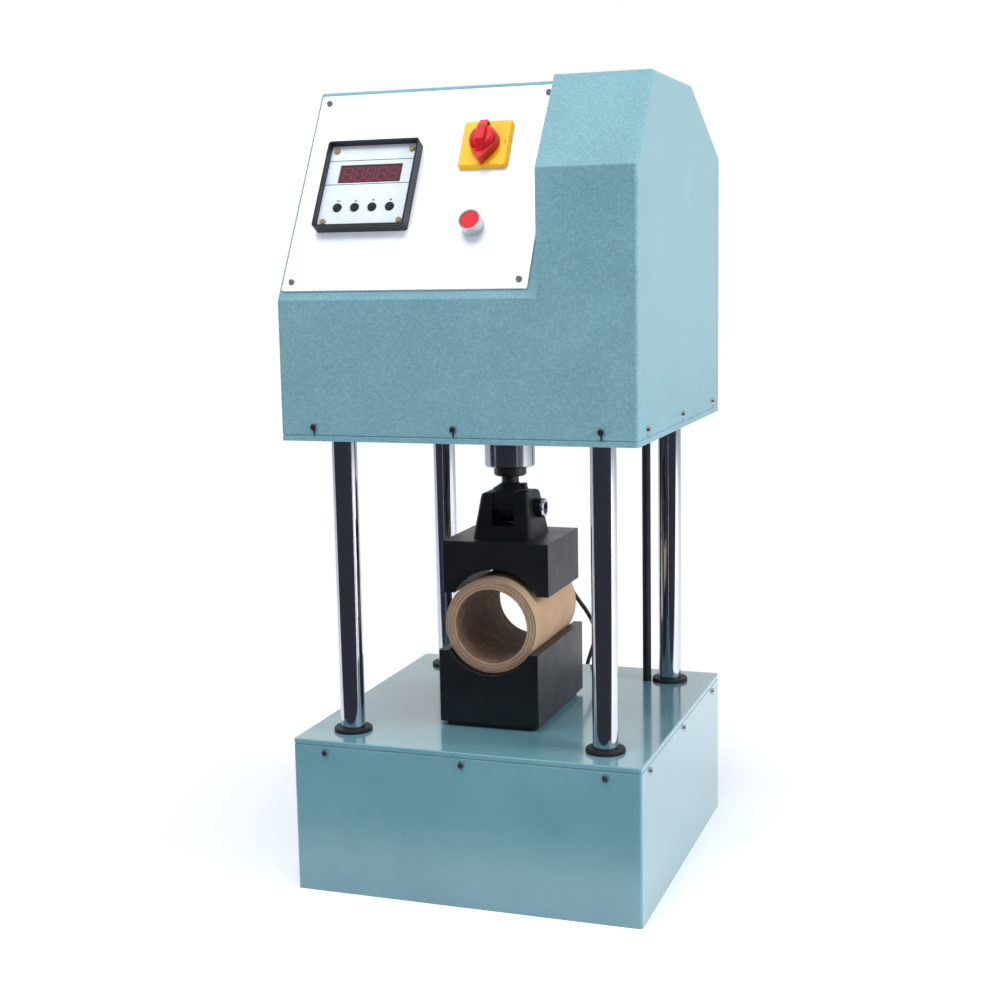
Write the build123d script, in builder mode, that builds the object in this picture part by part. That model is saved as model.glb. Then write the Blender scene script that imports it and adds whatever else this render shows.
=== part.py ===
from build123d import *
import os
from math import acos, atan2, cos, degrees, hypot, pi, radians, sin, sqrt, tan

# Paper core compression tester: a bench machine that crushes a short length of paper core
# between a fixed lower jaw and an upper jaw that a screw-driven ram pushes down.
# The origin is the middle of the base's underside, the front is -Y, right is +X, up is +Z.
# Every length is in millimetres.

# Clearances
run_fit = 0.05  # radial, round piece turning or sliding in its bearing
push_fit = 0.05  # radial, round piece pushed into its seat
pass_gap = 0.3  # radial, hole that a round piece only passes through
seat_gap = 0.3  # specimen above its saddle, where curved faces meet
side_gap = 0.5  # a plate inside a folded sheet cover
key_gap = 0.35  # radial, round a key or a button
drill_past = 1.0  # hole depth beyond a screw's end

# Sheet metal
sheet = 2.0  # wall of the folded covers
fold_radius = 3.0  # outside of a fold
edge_break = 1.0  # broken edge of a thick machined plate

# Base
base_width = 360.0
base_depth = 362.0
base_height = 158.0  # to the top of the lid
lid_thickness = 5.5
base_plate_thickness = 25.0
return_width = 22.0  # folded foot flange of the base box
bottom_sheet = 1.5

# Columns
column_diameter = 25.0
column_spigot = 20.0
column_inset_x = 46.7  # column axis in from the base's side
column_inset_y = 43.6  # column axis in from the base's front and rear
ring_diameter = 39.0
ring_height = 4.0
nut_flats = 30.0
nut_height = 16.0
thread_tail = 4.0  # spigot beyond its nut
tail_chamfer = 1.5

# Head
head_narrower = 1.0  # at each side, less than the base
head_deeper = 1.5  # at each end, more than the base
daylight = 301.5  # from the base lid to the head's underside
head_height = 340.5
lip_thickness = 5.5
crosshead_thickness = 25.0
low_front = 135.5  # underside up to the crease below the panel
low_slope_run = 117.5  # depth of the panel's slope
tall_front = 252.5
tall_slope_run = 64.5
rear_slope_run = 139.5
rear_drop = 64.0  # top down to the rear crease
drive_section = 95.0  # width of the tall section on the right
seam_from_rear = 12.0  # forward reach of the rear cover
seam_gap = 0.4

# Cover and base screws
wall_screw_shank = 4.0
wall_screw_head = 7.4
wall_screw_head_height = 2.4
wall_screw_reach = 9.0  # from the wall's outside into the plate
corner_screw_inset = 35.0  # in from the corner, on every wall
base_screw_drop = 12.5  # below the lid's top
head_screw_rise = 8.0  # above the cover's lower edge
slot_width = 2.0  # saw cut from a cover's screw hole to its lower edge

# Loading axis and jaws
axis_y = -18.0
pad_inset_x = 4.5
pad_inset_y = 4.0
pad_thickness = 5.0
pad_corner = 6.0
lower_jaw_width = 106.0
lower_jaw_depth = 160.0
jaw_plate_thickness = 24.0
lower_jaw_height = 50.5
saddle_ease = 2.0  # saddle radius over the core's
saddle_depth = 24.5
upper_jaw_width = 114.0
upper_jaw_depth = 108.0
upper_jaw_height = 54.0
upper_arch_depth = 26.0
core_gap = 6.7  # between the core and the raised arch
jaw_edge = 0.6
jaw_bolt = 10.0
jaw_bolt_head = 16.0
jaw_bolt_head_height = 10.0
jaw_bolt_spread = 104.0
jaw_bolt_grip = 16.0  # reach into the jaw block

# Paper core
core_outside = 98.0
core_wall = 11.0
core_length = 140.0
core_front = -87.5

# Clevis, pin and load cell
clevis_foot_width = 64.0
clevis_foot_depth = 64.0
clevis_top_width = 51.0
clevis_top_depth = 44.0
clevis_height = 46.0
eye_gap = 0.5  # under the load cell's eye
clevis_round = 5.0
clevis_boss = 20.0  # on the right cheek only
clevis_boss_reach = 35.0
pin_diameter = 12.0
pin_height = 29.0  # axis above the clevis foot
pin_head = 20.5
pin_head_length = 3.0
pin_head_bore = 13.0
pin_head_bore_depth = 2.0
pin_tail = 2.0  # beyond the left cheek
tongue_width = 24.0
eye_wall = 9.5  # round the pin
tongue_side_gap = 0.5
tongue_depth = 44.0
shoulder_gap = 1.5  # above the clevis cheeks
shoulder_diameter = 37.0
shoulder_height = 1.0
cone_foot = 37.0
cone_height = 6.5
neck_diameter = 18.0
neck_length = 7.5
stud_diameter = 16.0
stud_length = 14.0
collar_diameter = 34.0
collar_height = 9.5
collar_chamfer = 1.6
lock_screw_diameter = 7.5
lock_screw_height = 6.0
lock_screw_offset = 14.6
cell_gland_diameter = 11.0
cell_gland_length = 4.0
cell_gland_drop = 8.0  # below the clevis top

# Ram and its drive
ram_diameter = 52.0
ram_rise = 75.0  # above the crosshead when raised
ram_bore = 36.0
ram_floor = 22.0
ram_chamfer = 1.5
nut_seat_diameter = 44.0
ram_nut_length = 30.0
screw_diameter = 24.0
screw_overlap = 57.0  # screw below the ram nut when the ram is raised
screw_flange = 40.0
screw_flange_height = 10.0
journal_diameter = 20.0
journal_tail = 8.0
screw_bare = 42.0  # between the raised ram and the screw's flange
bush_diameter = 76.0
bush_flange = 100.0
bush_flange_height = 12.0
bearing_diameter = 52.0
bearing_height = 17.0
bearing_seat = 2.0
bearing_plate_thickness = 20.0
post_diameter = 20.0
post_left = 50.0  # to the left of the loading axis
post_spread = 84.0
gear_module = 2.0
wheel_teeth = 60
pinion_teeth = 20
gear_width = 20.0
gear_lift = 4.0  # above the bearing plate
gear_backlash = 0.3
gear_hub = 40.0
gear_hub_height = 6.0
pressure_angle = 20.0
motor_diameter = 70.0
motor_length = 66.0
gearbox_side = 74.0
gearbox_length = 40.0
gearbox_corner = 6.0
motor_shaft = 12.0
motor_spigot = 32.0
motor_spigot_height = 3.0

# Control panel
panel_left_margin = 4.0
panel_right_margin = 10.0
panel_foot = 9.8  # from the crease, up the slope
panel_head = 5.5  # from the slope's top
panel_thickness = 2.0
panel_corner = 2.0
panel_screw_inset = 9.0
panel_screw_shank = 3.5
panel_screw_head = 6.6
panel_screw_height = 2.2
panel_screw_reach = 7.0

# Panel meter
meter_place = (0.288, 0.503)  # centre, as a share of the panel from its lower left
meter_side = 96.0
meter_wall = 2.0
meter_corner = 3.0
meter_rise = 12.5
meter_floor = 6.0  # face above the panel
meter_face_thickness = 1.0
meter_case_depth = 60.0
meter_case_gap = 0.25
window_width = 66.0
window_height = 20.5
window_up = 13.7
window_lap = 2.0
window_thickness = 1.5
key_diameter = 8.8
key_pitch = 18.3
key_up = -24.2
key_rise = 1.4  # above the meter's face
key_length = 7.0
key_travel = 1.0
key_count = 4
meter_screw_spread = 79.4
meter_screw_head = 6.4
meter_screw_height = 1.8
meter_screw_shank = 3.0
meter_screw_reach = 8.0

# Rotary switch
switch_place = (0.745, 0.7)  # as the meter's
switch_width = 50.0
switch_height = 52.0
switch_thickness = 5.0
switch_corner = 4.0
switch_bevel = 1.8
switch_body_side = 44.0
switch_body_depth = 48.0
switch_body_corner = 3.0
switch_neck = 20.0
knob_diameter = 30.0
knob_hub_height = 13.0
knob_hub_taper = 6.0  # degrees
knob_hub_round = 7.0
knob_point_reach = 25.0  # from the axis to the pointer's tip
knob_point_width = 24.0
knob_point_root = 9.0  # from the axis to where the pointer leaves the hub
knob_point_height = 9.0
knob_grip_height = 17.0
knob_grip_width = 9.0
knob_grip_round = 1.5
knob_tab_reach = 18.5  # from the axis to the tab's end
knob_tip_height = 5.0
knob_tab_height = 11.5
knob_crest = 6.0  # from the axis to where the grip starts to fall
knob_tab_crest = 9.0  # the same, towards the tab
knob_gap = 0.4  # above the switch plate
knob_stem = 8.0
knob_stem_length = 16.0
padlock_hole = 5.0

# Reset button
button_place = (0.747, 0.3)  # as the meter's
button_diameter = 22.0
button_rise = 12.5
button_wall = 1.4
button_floor = 2.0
button_neck = 16.0
button_body_side = 30.0
button_body_depth = 40.0
button_body_corner = 2.0
cap_sink = 0.5  # below the bezel's rim
cap_travel = 3.0
cap_rest = 0.2  # left under the cap when it is pressed home
plunger_diameter = 7.0
plunger_length = 9.0

# Conduit between base and head
conduit_from_column_x = 24.3  # in from the rear right column
conduit_from_column_y = 8.4
conduit_diameter = 9.5
conduit_wall = 1.2
conduit_reach = 12.0  # into the base and the head, past the plates

# Rear of the base: mains inlet, cable gland, and the supply inside
inlet_from_left = 70.0
inlet_z = 45.0
inlet_width = 48.0
inlet_height = 28.0
inlet_flange = 1.5
inlet_corner = 3.0
inlet_body_width = 28.0
inlet_body_height = 20.0
inlet_body_depth = 26.0
inlet_cavity_width = 24.4
inlet_cavity_height = 16.4
inlet_cavity_depth = 18.0
inlet_pin_width = 2.0
inlet_pin_height = 4.0
inlet_pin_length = 14.0
inlet_pin_pitch = 7.0
inlet_pin_up = 2.5
gland_x = 8.0
gland_z = 98.0
gland_thread = 12.0
gland_flats = 17.0
gland_nut = 4.0
gland_dome = 14.0
gland_dome_length = 6.0
gland_inside = 10.0
supply_width = 110.0
supply_depth = 78.0
supply_height = 50.0
supply_from_left = 110.0
supply_from_rear = 111.0
supply_slot = 3.0
supply_slots = 7
board_width = 110.0
board_depth = 80.0
board_from_right = 100.0
board_thickness = 1.6
board_lift = 8.0
board_pillar = 7.0
board_pillar_inset = 10.0
board_chip = 15.0
board_chip_height = 4.0
sink_fin = 2.5
sink_fins = 8
sink_height = 22.0

# Load cell cable, a route chosen by hand between its two glands
cable_diameter = 5.0
bend_share = 0.45  # of the shorter run beside a bend
cable_lead = 17.0  # straight out of the load cell's gland
gland_loop = [(34.2, 18.0), (26.2, 6.5), (13.8, 0.0)]  # reach and rise from the rear gland

angle_tolerance = 1e-6

# Heights and places that follow
box_height = base_height - lid_thickness
base_plate_foot = box_height - base_plate_thickness
column_across = base_width - 2 * column_inset_x
column_along = base_depth - 2 * column_inset_y
conduit_x = column_across / 2 - conduit_from_column_x
conduit_y = column_along / 2 - conduit_from_column_y
inlet_x = -base_width / 2 + inlet_from_left
supply_x = -base_width / 2 + supply_from_left
supply_y = base_depth / 2 - supply_from_rear
board_x = base_width / 2 - board_from_right

head_width = base_width - 2 * head_narrower
head_depth = base_depth + 2 * head_deeper
half_head = head_depth / 2
head_underside = base_height + daylight
head_top = head_underside + head_height
low_crease = head_underside + low_front
tall_crease = head_underside + tall_front
rear_crease = head_top - rear_drop
low_slope_top = low_slope_run - half_head
tall_slope_top = tall_slope_run - half_head
rear_slope_top = half_head - rear_slope_run
step_x = head_width / 2 - drive_section
head_plate_foot = head_underside + lip_thickness
crosshead_top = head_plate_foot + crosshead_thickness
column_points = [
    (-column_across / 2, -column_along / 2),
    (column_across / 2, -column_along / 2),
    (-column_across / 2, column_along / 2),
    (column_across / 2, column_along / 2),
]
column_names = ["front_left", "front_right", "rear_left", "rear_right"]
conduit_point = (conduit_x, conduit_y)
axis_point = (0, axis_y)
bolt_points = [(0, axis_y - jaw_bolt_spread / 2), (0, axis_y + jaw_bolt_spread / 2)]

pad_width = lower_jaw_width - 2 * pad_inset_x
pad_depth = lower_jaw_depth - 2 * pad_inset_y
pad_top = base_height + pad_thickness
jaw_plate_top = pad_top + jaw_plate_thickness
lower_jaw_top = jaw_plate_top + lower_jaw_height
saddle_radius = core_outside / 2 + saddle_ease
saddle_foot = lower_jaw_top - saddle_depth
saddle_centre = saddle_foot + saddle_radius
core_bore = core_outside - 2 * core_wall
core_centre = saddle_foot + seat_gap + core_outside / 2
upper_jaw_foot = core_centre + core_outside / 2 + core_gap - upper_arch_depth
upper_jaw_top = upper_jaw_foot + upper_jaw_height
arch_centre = upper_jaw_foot + upper_arch_depth - saddle_radius

clevis_top = upper_jaw_top + clevis_height
pin_z = upper_jaw_top + pin_height
tongue_eye = pin_diameter / 2 + eye_wall
clevis_floor = pin_height - tongue_eye - eye_gap
shoulder_foot = clevis_top + shoulder_gap
cone_foot_z = shoulder_foot + shoulder_height
neck_foot = cone_foot_z + cone_height
ram_foot = neck_foot + neck_length + collar_height
collar_foot = ram_foot - collar_height
ram_top = crosshead_top + ram_rise
ram_length = ram_top - ram_foot
slot_side = tongue_width / 2 + tongue_side_gap
cheek_lean = (clevis_foot_width - clevis_top_width) / 2 * pin_height / clevis_height
cheek_at_pin = clevis_foot_width / 2 - cheek_lean

screw_flange_foot = ram_top + screw_bare
bearing_foot = screw_flange_foot + screw_flange_height
bearing_plate_foot = bearing_foot + bearing_height - bearing_seat
bearing_plate_top = bearing_plate_foot + bearing_plate_thickness
gear_foot = bearing_plate_top + gear_lift
screw_foot = ram_top - ram_nut_length - screw_overlap
wheel_pitch_radius = gear_module * wheel_teeth / 2
pinion_pitch_radius = gear_module * pinion_teeth / 2
motor_x = wheel_pitch_radius + pinion_pitch_radius
motor_point = (motor_x, axis_y)
post_right = motor_x + gearbox_side / 2 + post_diameter / 2
post_points = [
    (x, axis_y + y) for x in (-post_left, post_right) for y in (-post_spread / 2, post_spread / 2)
]
bearing_plate_width = post_left + post_right + post_diameter
bearing_plate_depth = post_spread + post_diameter
bearing_plate_middle = (post_right - post_left) / 2

slope_rise = head_top - low_crease
slope_angle = atan2(low_slope_run, slope_rise)  # from upright
slope = Plane(
    origin=(0, -half_head, low_crease),
    x_dir=(1, 0, 0),
    z_dir=(0, -cos(slope_angle), sin(slope_angle)),
)
panel_face = slope.offset(panel_thickness)
panel_left = -head_width / 2 + panel_left_margin
panel_width = step_x - panel_right_margin - panel_left
panel_height = hypot(low_slope_run, slope_rise) - panel_foot - panel_head
panel_centre = (panel_left + panel_width / 2, panel_foot + panel_height / 2)


def panel_point(place):
    """The point of the slope at a share of the panel's width and height."""
    return (panel_left + place[0] * panel_width, panel_foot + place[1] * panel_height)


meter_x, meter_up = meter_centre = panel_point(meter_place)
switch_x, switch_up = switch_centre = panel_point(switch_place)
button_x, button_up = button_centre = panel_point(button_place)
meter_opening = meter_side - 2 * meter_wall
meter_case_side = meter_opening - 2 * meter_case_gap
case_front = meter_floor - meter_face_thickness
key_radius = key_diameter / 2
cap_radius = button_diameter / 2 - button_wall - key_gap

os.makedirs("parts", exist_ok=True)


def save(part, name):
    """Label a finished piece and write it as its own STEP file."""
    part.label = name
    export_step(part, f"parts/{name}.step")


def wall_planes(width, depth, height):
    """The four outer walls of a box at one height, each plane facing outwards."""
    return [
        Plane(origin=(0, -depth / 2, height), x_dir=(1, 0, 0), z_dir=(0, -1, 0)),
        Plane(origin=(0, depth / 2, height), x_dir=(-1, 0, 0), z_dir=(0, 1, 0)),
        Plane(origin=(width / 2, 0, height), x_dir=(0, 1, 0), z_dir=(1, 0, 0)),
        Plane(origin=(-width / 2, 0, height), x_dir=(0, -1, 0), z_dir=(-1, 0, 0)),
    ]


base_walls = wall_planes(base_width, base_depth, base_height - base_screw_drop)
base_spreads = [base_width / 2 - corner_screw_inset] * 2
base_spreads += [base_depth / 2 - corner_screw_inset] * 2
head_walls = wall_planes(head_width, head_depth, head_plate_foot + head_screw_rise)
head_spreads = [head_width / 2 - corner_screw_inset] * 2
head_spreads += [head_depth / 2 - corner_screw_inset] * 2

# Base box: four folded walls with a return flange that it stands on, open on top
with BuildPart() as base_box:
    with BuildSketch():
        RectangleRounded(base_width, base_depth, fold_radius)
    extrude(amount=box_height)
    with BuildSketch(Plane.XY.offset(sheet)):
        RectangleRounded(base_width - 2 * sheet, base_depth - 2 * sheet, fold_radius - sheet)
    extrude(amount=box_height, mode=Mode.SUBTRACT)
    with BuildSketch():
        RectangleRounded(
            base_width - 2 * return_width, base_depth - 2 * return_width, fold_radius
        )
    extrude(amount=sheet, mode=Mode.SUBTRACT)
    for wall, spread in zip(base_walls, base_spreads):
        with BuildSketch(wall):
            with GridLocations(spread, 1, 3, 1):
                Circle(wall_screw_shank / 2 + push_fit)
        extrude(amount=-sheet, mode=Mode.SUBTRACT)
    with BuildSketch(base_walls[1]):
        with Locations((-inlet_x, inlet_z - base_height + base_screw_drop)):
            Rectangle(inlet_body_width + 2 * pass_gap, inlet_body_height + 2 * pass_gap)
        with Locations((-gland_x, gland_z - base_height + base_screw_drop)):
            Circle(gland_thread / 2 + push_fit)
    extrude(amount=-sheet, mode=Mode.SUBTRACT)
    chamfer(base_box.faces().sort_by(Axis.Z)[-1].outer_wire().edges(), edge_break)
save(base_box.part, "base_box")

# Bottom cover: a sheet that lies on the return flange and carries the supply
with BuildPart() as bottom_cover:
    with BuildSketch(Plane.XY.offset(sheet)):
        RectangleRounded(
            base_width - 2 * sheet - 2 * side_gap, base_depth - 2 * sheet - 2 * side_gap, 1
        )
    extrude(amount=bottom_sheet)
save(bottom_cover.part, "bottom_cover")

# Base plate: the thick plate that holds the columns and takes the load under the lid
with BuildPart() as base_plate:
    with BuildSketch(Plane.XY.offset(base_plate_foot)):
        Rectangle(base_width - 2 * sheet - 2 * side_gap, base_depth - 2 * sheet - 2 * side_gap)
        with Locations(*column_points):
            Circle(column_spigot / 2 + push_fit, mode=Mode.SUBTRACT)
        with Locations(*bolt_points):
            Circle(jaw_bolt / 2 + pass_gap, mode=Mode.SUBTRACT)
        with Locations(conduit_point):
            Circle(conduit_diameter / 2 + pass_gap, mode=Mode.SUBTRACT)
    extrude(amount=base_plate_thickness)
    for wall, spread in zip(base_walls, base_spreads):
        with BuildSketch(wall):
            with GridLocations(spread, 1, 3, 1):
                Circle(wall_screw_shank / 2 + push_fit)
        extrude(amount=-wall_screw_reach - drill_past, mode=Mode.SUBTRACT)
save(base_plate.part, "base_plate")

# Base lid: the painted top that the columns pass through
with BuildPart() as base_lid:
    with BuildSketch(Plane.XY.offset(box_height)):
        RectangleRounded(base_width, base_depth, fold_radius)
        with Locations(*column_points):
            Circle(column_diameter / 2 + pass_gap, mode=Mode.SUBTRACT)
        with Locations(*bolt_points):
            Circle(jaw_bolt / 2 + pass_gap, mode=Mode.SUBTRACT)
        with Locations(conduit_point):
            Circle(conduit_diameter / 2 + pass_gap, mode=Mode.SUBTRACT)
    extrude(amount=lid_thickness)
    chamfer(base_lid.faces().sort_by(Axis.Z)[-1].outer_wire().edges(), edge_break)
    chamfer(base_lid.faces().sort_by(Axis.Z)[0].outer_wire().edges(), edge_break)
save(base_lid.part, "base_lid")

# Columns: ground bars whose shoulders stand between the two thick plates
spigot_length = base_plate_thickness + nut_height + thread_tail
for name, point in zip(column_names, column_points):
    with BuildPart() as column:
        with BuildSketch(Plane.XY.offset(box_height)):
            with Locations(point):
                Circle(column_diameter / 2)
        extrude(amount=head_plate_foot - box_height)
        with BuildSketch(Plane.XY.offset(box_height - spigot_length)):
            with Locations(point):
                Circle(column_spigot / 2)
        extrude(amount=head_plate_foot - box_height + 2 * spigot_length)
        ends = column.faces().filter_by(Axis.Z).sort_by(Axis.Z)
        chamfer([ends[0].edges(), ends[-1].edges()], tail_chamfer)
    save(column.part, f"column_{name}")

# Column rings: rubber rings that close the lid round the columns
with BuildPart() as column_rings:
    with BuildSketch(Plane.XY.offset(base_height)):
        with Locations(*column_points):
            Circle(ring_diameter / 2)
            Circle(column_diameter / 2 + push_fit, mode=Mode.SUBTRACT)
    extrude(amount=ring_height)
    chamfer(
        column_rings.edges().filter_by(GeomType.CIRCLE).group_by(Axis.Z)[-1].filter_by(
            lambda edge: edge.radius > column_diameter / 2 + push_fit + 1
        ),
        edge_break,
    )
save(column_rings.part, "column_rings")

# Column nuts: under the base plate and on top of the crosshead
with BuildPart() as column_nuts:
    for foot in (base_plate_foot - nut_height, crosshead_top):
        with BuildSketch(Plane.XY.offset(foot)):
            with Locations(*column_points):
                RegularPolygon(nut_flats / 2, 6, major_radius=False)
                Circle(column_spigot / 2 + push_fit, mode=Mode.SUBTRACT)
        extrude(amount=nut_height)
save(column_nuts.part, "column_nuts")

# Conduit: the straight black tube that carries the wires from the base to the head
with BuildPart() as conduit_tube:
    with BuildSketch(Plane.XY.offset(base_plate_foot - conduit_reach)):
        with Locations(conduit_point):
            Circle(conduit_diameter / 2)
            Circle(conduit_diameter / 2 - conduit_wall, mode=Mode.SUBTRACT)
    extrude(amount=crosshead_top - base_plate_foot + 2 * conduit_reach)
save(conduit_tube.part, "conduit_tube")

# Lower jaw: a pad, a plate and the saddle block, bolted down from below
with BuildPart() as jaw_pad:
    with BuildSketch(Plane.XY.offset(base_height)):
        with Locations(axis_point):
            RectangleRounded(pad_width, pad_depth, pad_corner)
        with Locations(*bolt_points):
            Circle(jaw_bolt / 2 + pass_gap, mode=Mode.SUBTRACT)
    extrude(amount=pad_thickness)
save(jaw_pad.part, "jaw_pad")

with BuildPart() as lower_jaw_plate:
    with BuildSketch(Plane.XY.offset(pad_top)):
        with Locations(axis_point):
            Rectangle(lower_jaw_width, lower_jaw_depth)
        with Locations(*bolt_points):
            Circle(jaw_bolt / 2 + push_fit, mode=Mode.SUBTRACT)
    extrude(amount=jaw_plate_thickness)
    chamfer(lower_jaw_plate.edges().filter_by(Axis.Z).group_by(Axis.X)[0], jaw_edge)
    chamfer(lower_jaw_plate.edges().filter_by(Axis.Z).group_by(Axis.X)[-1], jaw_edge)
save(lower_jaw_plate.part, "lower_jaw_plate")

with BuildPart() as lower_jaw:
    with BuildSketch(Plane.XY.offset(jaw_plate_top)):
        with Locations(axis_point):
            Rectangle(lower_jaw_width, lower_jaw_depth)
    extrude(amount=lower_jaw_height)
    with BuildSketch(Plane.XZ.offset(-axis_y)):
        with Locations((0, saddle_centre)):
            Circle(saddle_radius)
    extrude(amount=lower_jaw_depth, both=True, mode=Mode.SUBTRACT)
    chamfer(lower_jaw.edges().filter_by(Axis.Z), jaw_edge)
    with BuildSketch(Plane.XY.offset(jaw_plate_top)):
        with Locations(*bolt_points):
            Circle(jaw_bolt / 2 + push_fit)
    extrude(amount=jaw_bolt_grip + drill_past, mode=Mode.SUBTRACT)
save(lower_jaw.part, "lower_jaw")

with BuildPart() as lower_jaw_bolts:
    with BuildSketch(Plane.XY.offset(base_plate_foot - jaw_bolt_head_height)):
        with Locations(*bolt_points):
            Circle(jaw_bolt_head / 2)
    extrude(amount=jaw_bolt_head_height)
    with BuildSketch(Plane.XY.offset(base_plate_foot)):
        with Locations(*bolt_points):
            Circle(jaw_bolt / 2)
    extrude(amount=jaw_plate_top + jaw_bolt_grip - base_plate_foot)
    with BuildSketch(Plane.XY.offset(base_plate_foot - jaw_bolt_head_height)):
        with Locations(*bolt_points):
            RegularPolygon(jaw_bolt_head / 4, 6, major_radius=False)
    extrude(amount=jaw_bolt_head_height / 2, mode=Mode.SUBTRACT)
save(lower_jaw_bolts.part, "lower_jaw_bolts")

# Paper core: the wound tube under test, lying in the saddle
with BuildPart() as paper_core:
    with BuildSketch(Plane.XZ.offset(-core_front)):
        with Locations((0, core_centre)):
            Circle(core_outside / 2)
            Circle(core_bore / 2, mode=Mode.SUBTRACT)
    extrude(amount=-core_length)
save(paper_core.part, "paper_core")

# Upper jaw: the block with the matching arch, its clevis bolted on top
with BuildPart() as upper_jaw:
    with BuildSketch(Plane.XY.offset(upper_jaw_foot)):
        with Locations(axis_point):
            Rectangle(upper_jaw_width, upper_jaw_depth)
    extrude(amount=upper_jaw_height)
    with BuildSketch(Plane.XZ.offset(-axis_y)):
        with Locations((0, arch_centre)):
            Circle(saddle_radius)
    extrude(amount=upper_jaw_depth, both=True, mode=Mode.SUBTRACT)
    chamfer(upper_jaw.edges().filter_by(Axis.Z), jaw_edge)
    chamfer(upper_jaw.faces().sort_by(Axis.Z)[-1].outer_wire().edges(), jaw_edge)
save(upper_jaw.part, "upper_jaw")

# Clevis: the tapered fork with two cheeks and a bossed cross bore
pin_plane = Plane.YZ
with BuildPart() as clevis:
    with BuildSketch(Plane.XY.offset(upper_jaw_top)):
        with Locations(axis_point):
            Rectangle(clevis_foot_width, clevis_foot_depth)
    with BuildSketch(Plane.XY.offset(clevis_top)):
        with Locations(axis_point):
            Rectangle(clevis_top_width, clevis_top_depth)
    loft()
    corners = clevis.edges().filter_by(
        lambda edge: edge.bounding_box().size.Z > clevis_height / 2
    )
    fillet(corners, clevis_round)
    fillet(clevis.faces().sort_by(Axis.Z)[-1].outer_wire().edges(), clevis_round)
    with BuildSketch(pin_plane):
        with Locations((axis_y, pin_z)):
            Circle(clevis_boss / 2)
    extrude(amount=clevis_boss_reach)
    with BuildSketch(Plane.XZ.offset(-axis_y)):
        with Locations((0, upper_jaw_top + clevis_floor)):
            Rectangle(2 * slot_side, clevis_height, align=(Align.CENTER, Align.MIN))
    extrude(amount=clevis_foot_depth, both=True, mode=Mode.SUBTRACT)
    with BuildSketch(pin_plane):
        with Locations((axis_y, pin_z)):
            Circle(pin_diameter / 2 + push_fit)
    extrude(amount=clevis_foot_width, both=True, mode=Mode.SUBTRACT)
save(clevis.part, "clevis")

# Clevis pin: a headed pin with a recessed end face
with BuildPart() as clevis_pin:
    with BuildSketch(pin_plane.offset(-cheek_at_pin - pin_tail)):
        with Locations((axis_y, pin_z)):
            Circle(pin_diameter / 2)
    extrude(amount=cheek_at_pin + pin_tail + clevis_boss_reach)
    with BuildSketch(pin_plane.offset(clevis_boss_reach)):
        with Locations((axis_y, pin_z)):
            Circle(pin_head / 2)
    extrude(amount=pin_head_length)
    chamfer(clevis_pin.faces().sort_by(Axis.X)[-1].edges(), edge_break)
    chamfer(clevis_pin.faces().sort_by(Axis.X)[0].edges(), edge_break)
    with BuildSketch(pin_plane.offset(clevis_boss_reach + pin_head_length)):
        with Locations((axis_y, pin_z)):
            Circle(pin_head_bore / 2)
    extrude(amount=-pin_head_bore_depth, mode=Mode.SUBTRACT)
save(clevis_pin.part, "clevis_pin")

# Load cell: an eye on the pin, a shoulder over the fork, and a neck screwed into the ram
with BuildPart() as load_cell:
    with BuildSketch(pin_plane):
        with Locations((axis_y, pin_z)):
            Circle(tongue_eye)
        with Locations((axis_y, pin_z)):
            Rectangle(tongue_depth, shoulder_foot - pin_z, align=(Align.CENTER, Align.MIN))
    extrude(amount=tongue_width / 2, both=True)
    with BuildSketch(Plane.XY.offset(shoulder_foot)):
        with Locations(axis_point):
            Circle(shoulder_diameter / 2)
    extrude(amount=shoulder_height)
    with BuildSketch(Plane.XY.offset(cone_foot_z)):
        with Locations(axis_point):
            Circle(cone_foot / 2)
    with BuildSketch(Plane.XY.offset(neck_foot)):
        with Locations(axis_point):
            Circle(neck_diameter / 2)
    loft()
    with BuildSketch(Plane.XY.offset(neck_foot)):
        with Locations(axis_point):
            Circle(neck_diameter / 2)
    extrude(amount=neck_length)
    with BuildSketch(Plane.XY.offset(neck_foot + neck_length)):
        with Locations(axis_point):
            Circle(stud_diameter / 2)
    extrude(amount=collar_height + stud_length)
    with BuildSketch(Plane.XY.offset(cone_foot_z)):
        with Locations((lock_screw_offset, axis_y)):
            Circle(lock_screw_diameter / 2 + pass_gap)
    extrude(amount=cone_height, mode=Mode.SUBTRACT)
    with BuildSketch(pin_plane):
        with Locations((axis_y, pin_z)):
            Circle(pin_diameter / 2 + run_fit)
    extrude(amount=tongue_width, both=True, mode=Mode.SUBTRACT)
    with BuildSketch(Plane.XZ.offset(-axis_y - tongue_depth / 2)):
        with Locations((0, clevis_top - cell_gland_drop)):
            Circle(cell_gland_diameter / 2)
    extrude(amount=-cell_gland_length)
save(load_cell.part, "load_cell")

with BuildPart() as lock_screw:
    with BuildSketch(Plane.XY.offset(cone_foot_z)):
        with Locations((lock_screw_offset, axis_y)):
            Circle(lock_screw_diameter / 2)
    extrude(amount=lock_screw_height)
    with BuildSketch(Plane.XY.offset(cone_foot_z + lock_screw_height)):
        with Locations((lock_screw_offset, axis_y)):
            RegularPolygon(lock_screw_diameter / 4, 6, major_radius=False)
    extrude(amount=-lock_screw_height / 2, mode=Mode.SUBTRACT)
save(lock_screw.part, "lock_screw")

with BuildPart() as lock_collar:
    with BuildSketch(Plane.XY.offset(collar_foot)):
        with Locations(axis_point):
            Circle(collar_diameter / 2)
            Circle(stud_diameter / 2 + push_fit, mode=Mode.SUBTRACT)
    extrude(amount=collar_height)
    chamfer(
        lock_collar.faces().sort_by(Axis.Z)[0].outer_wire().edges(), collar_chamfer
    )
save(lock_collar.part, "lock_collar")

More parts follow.
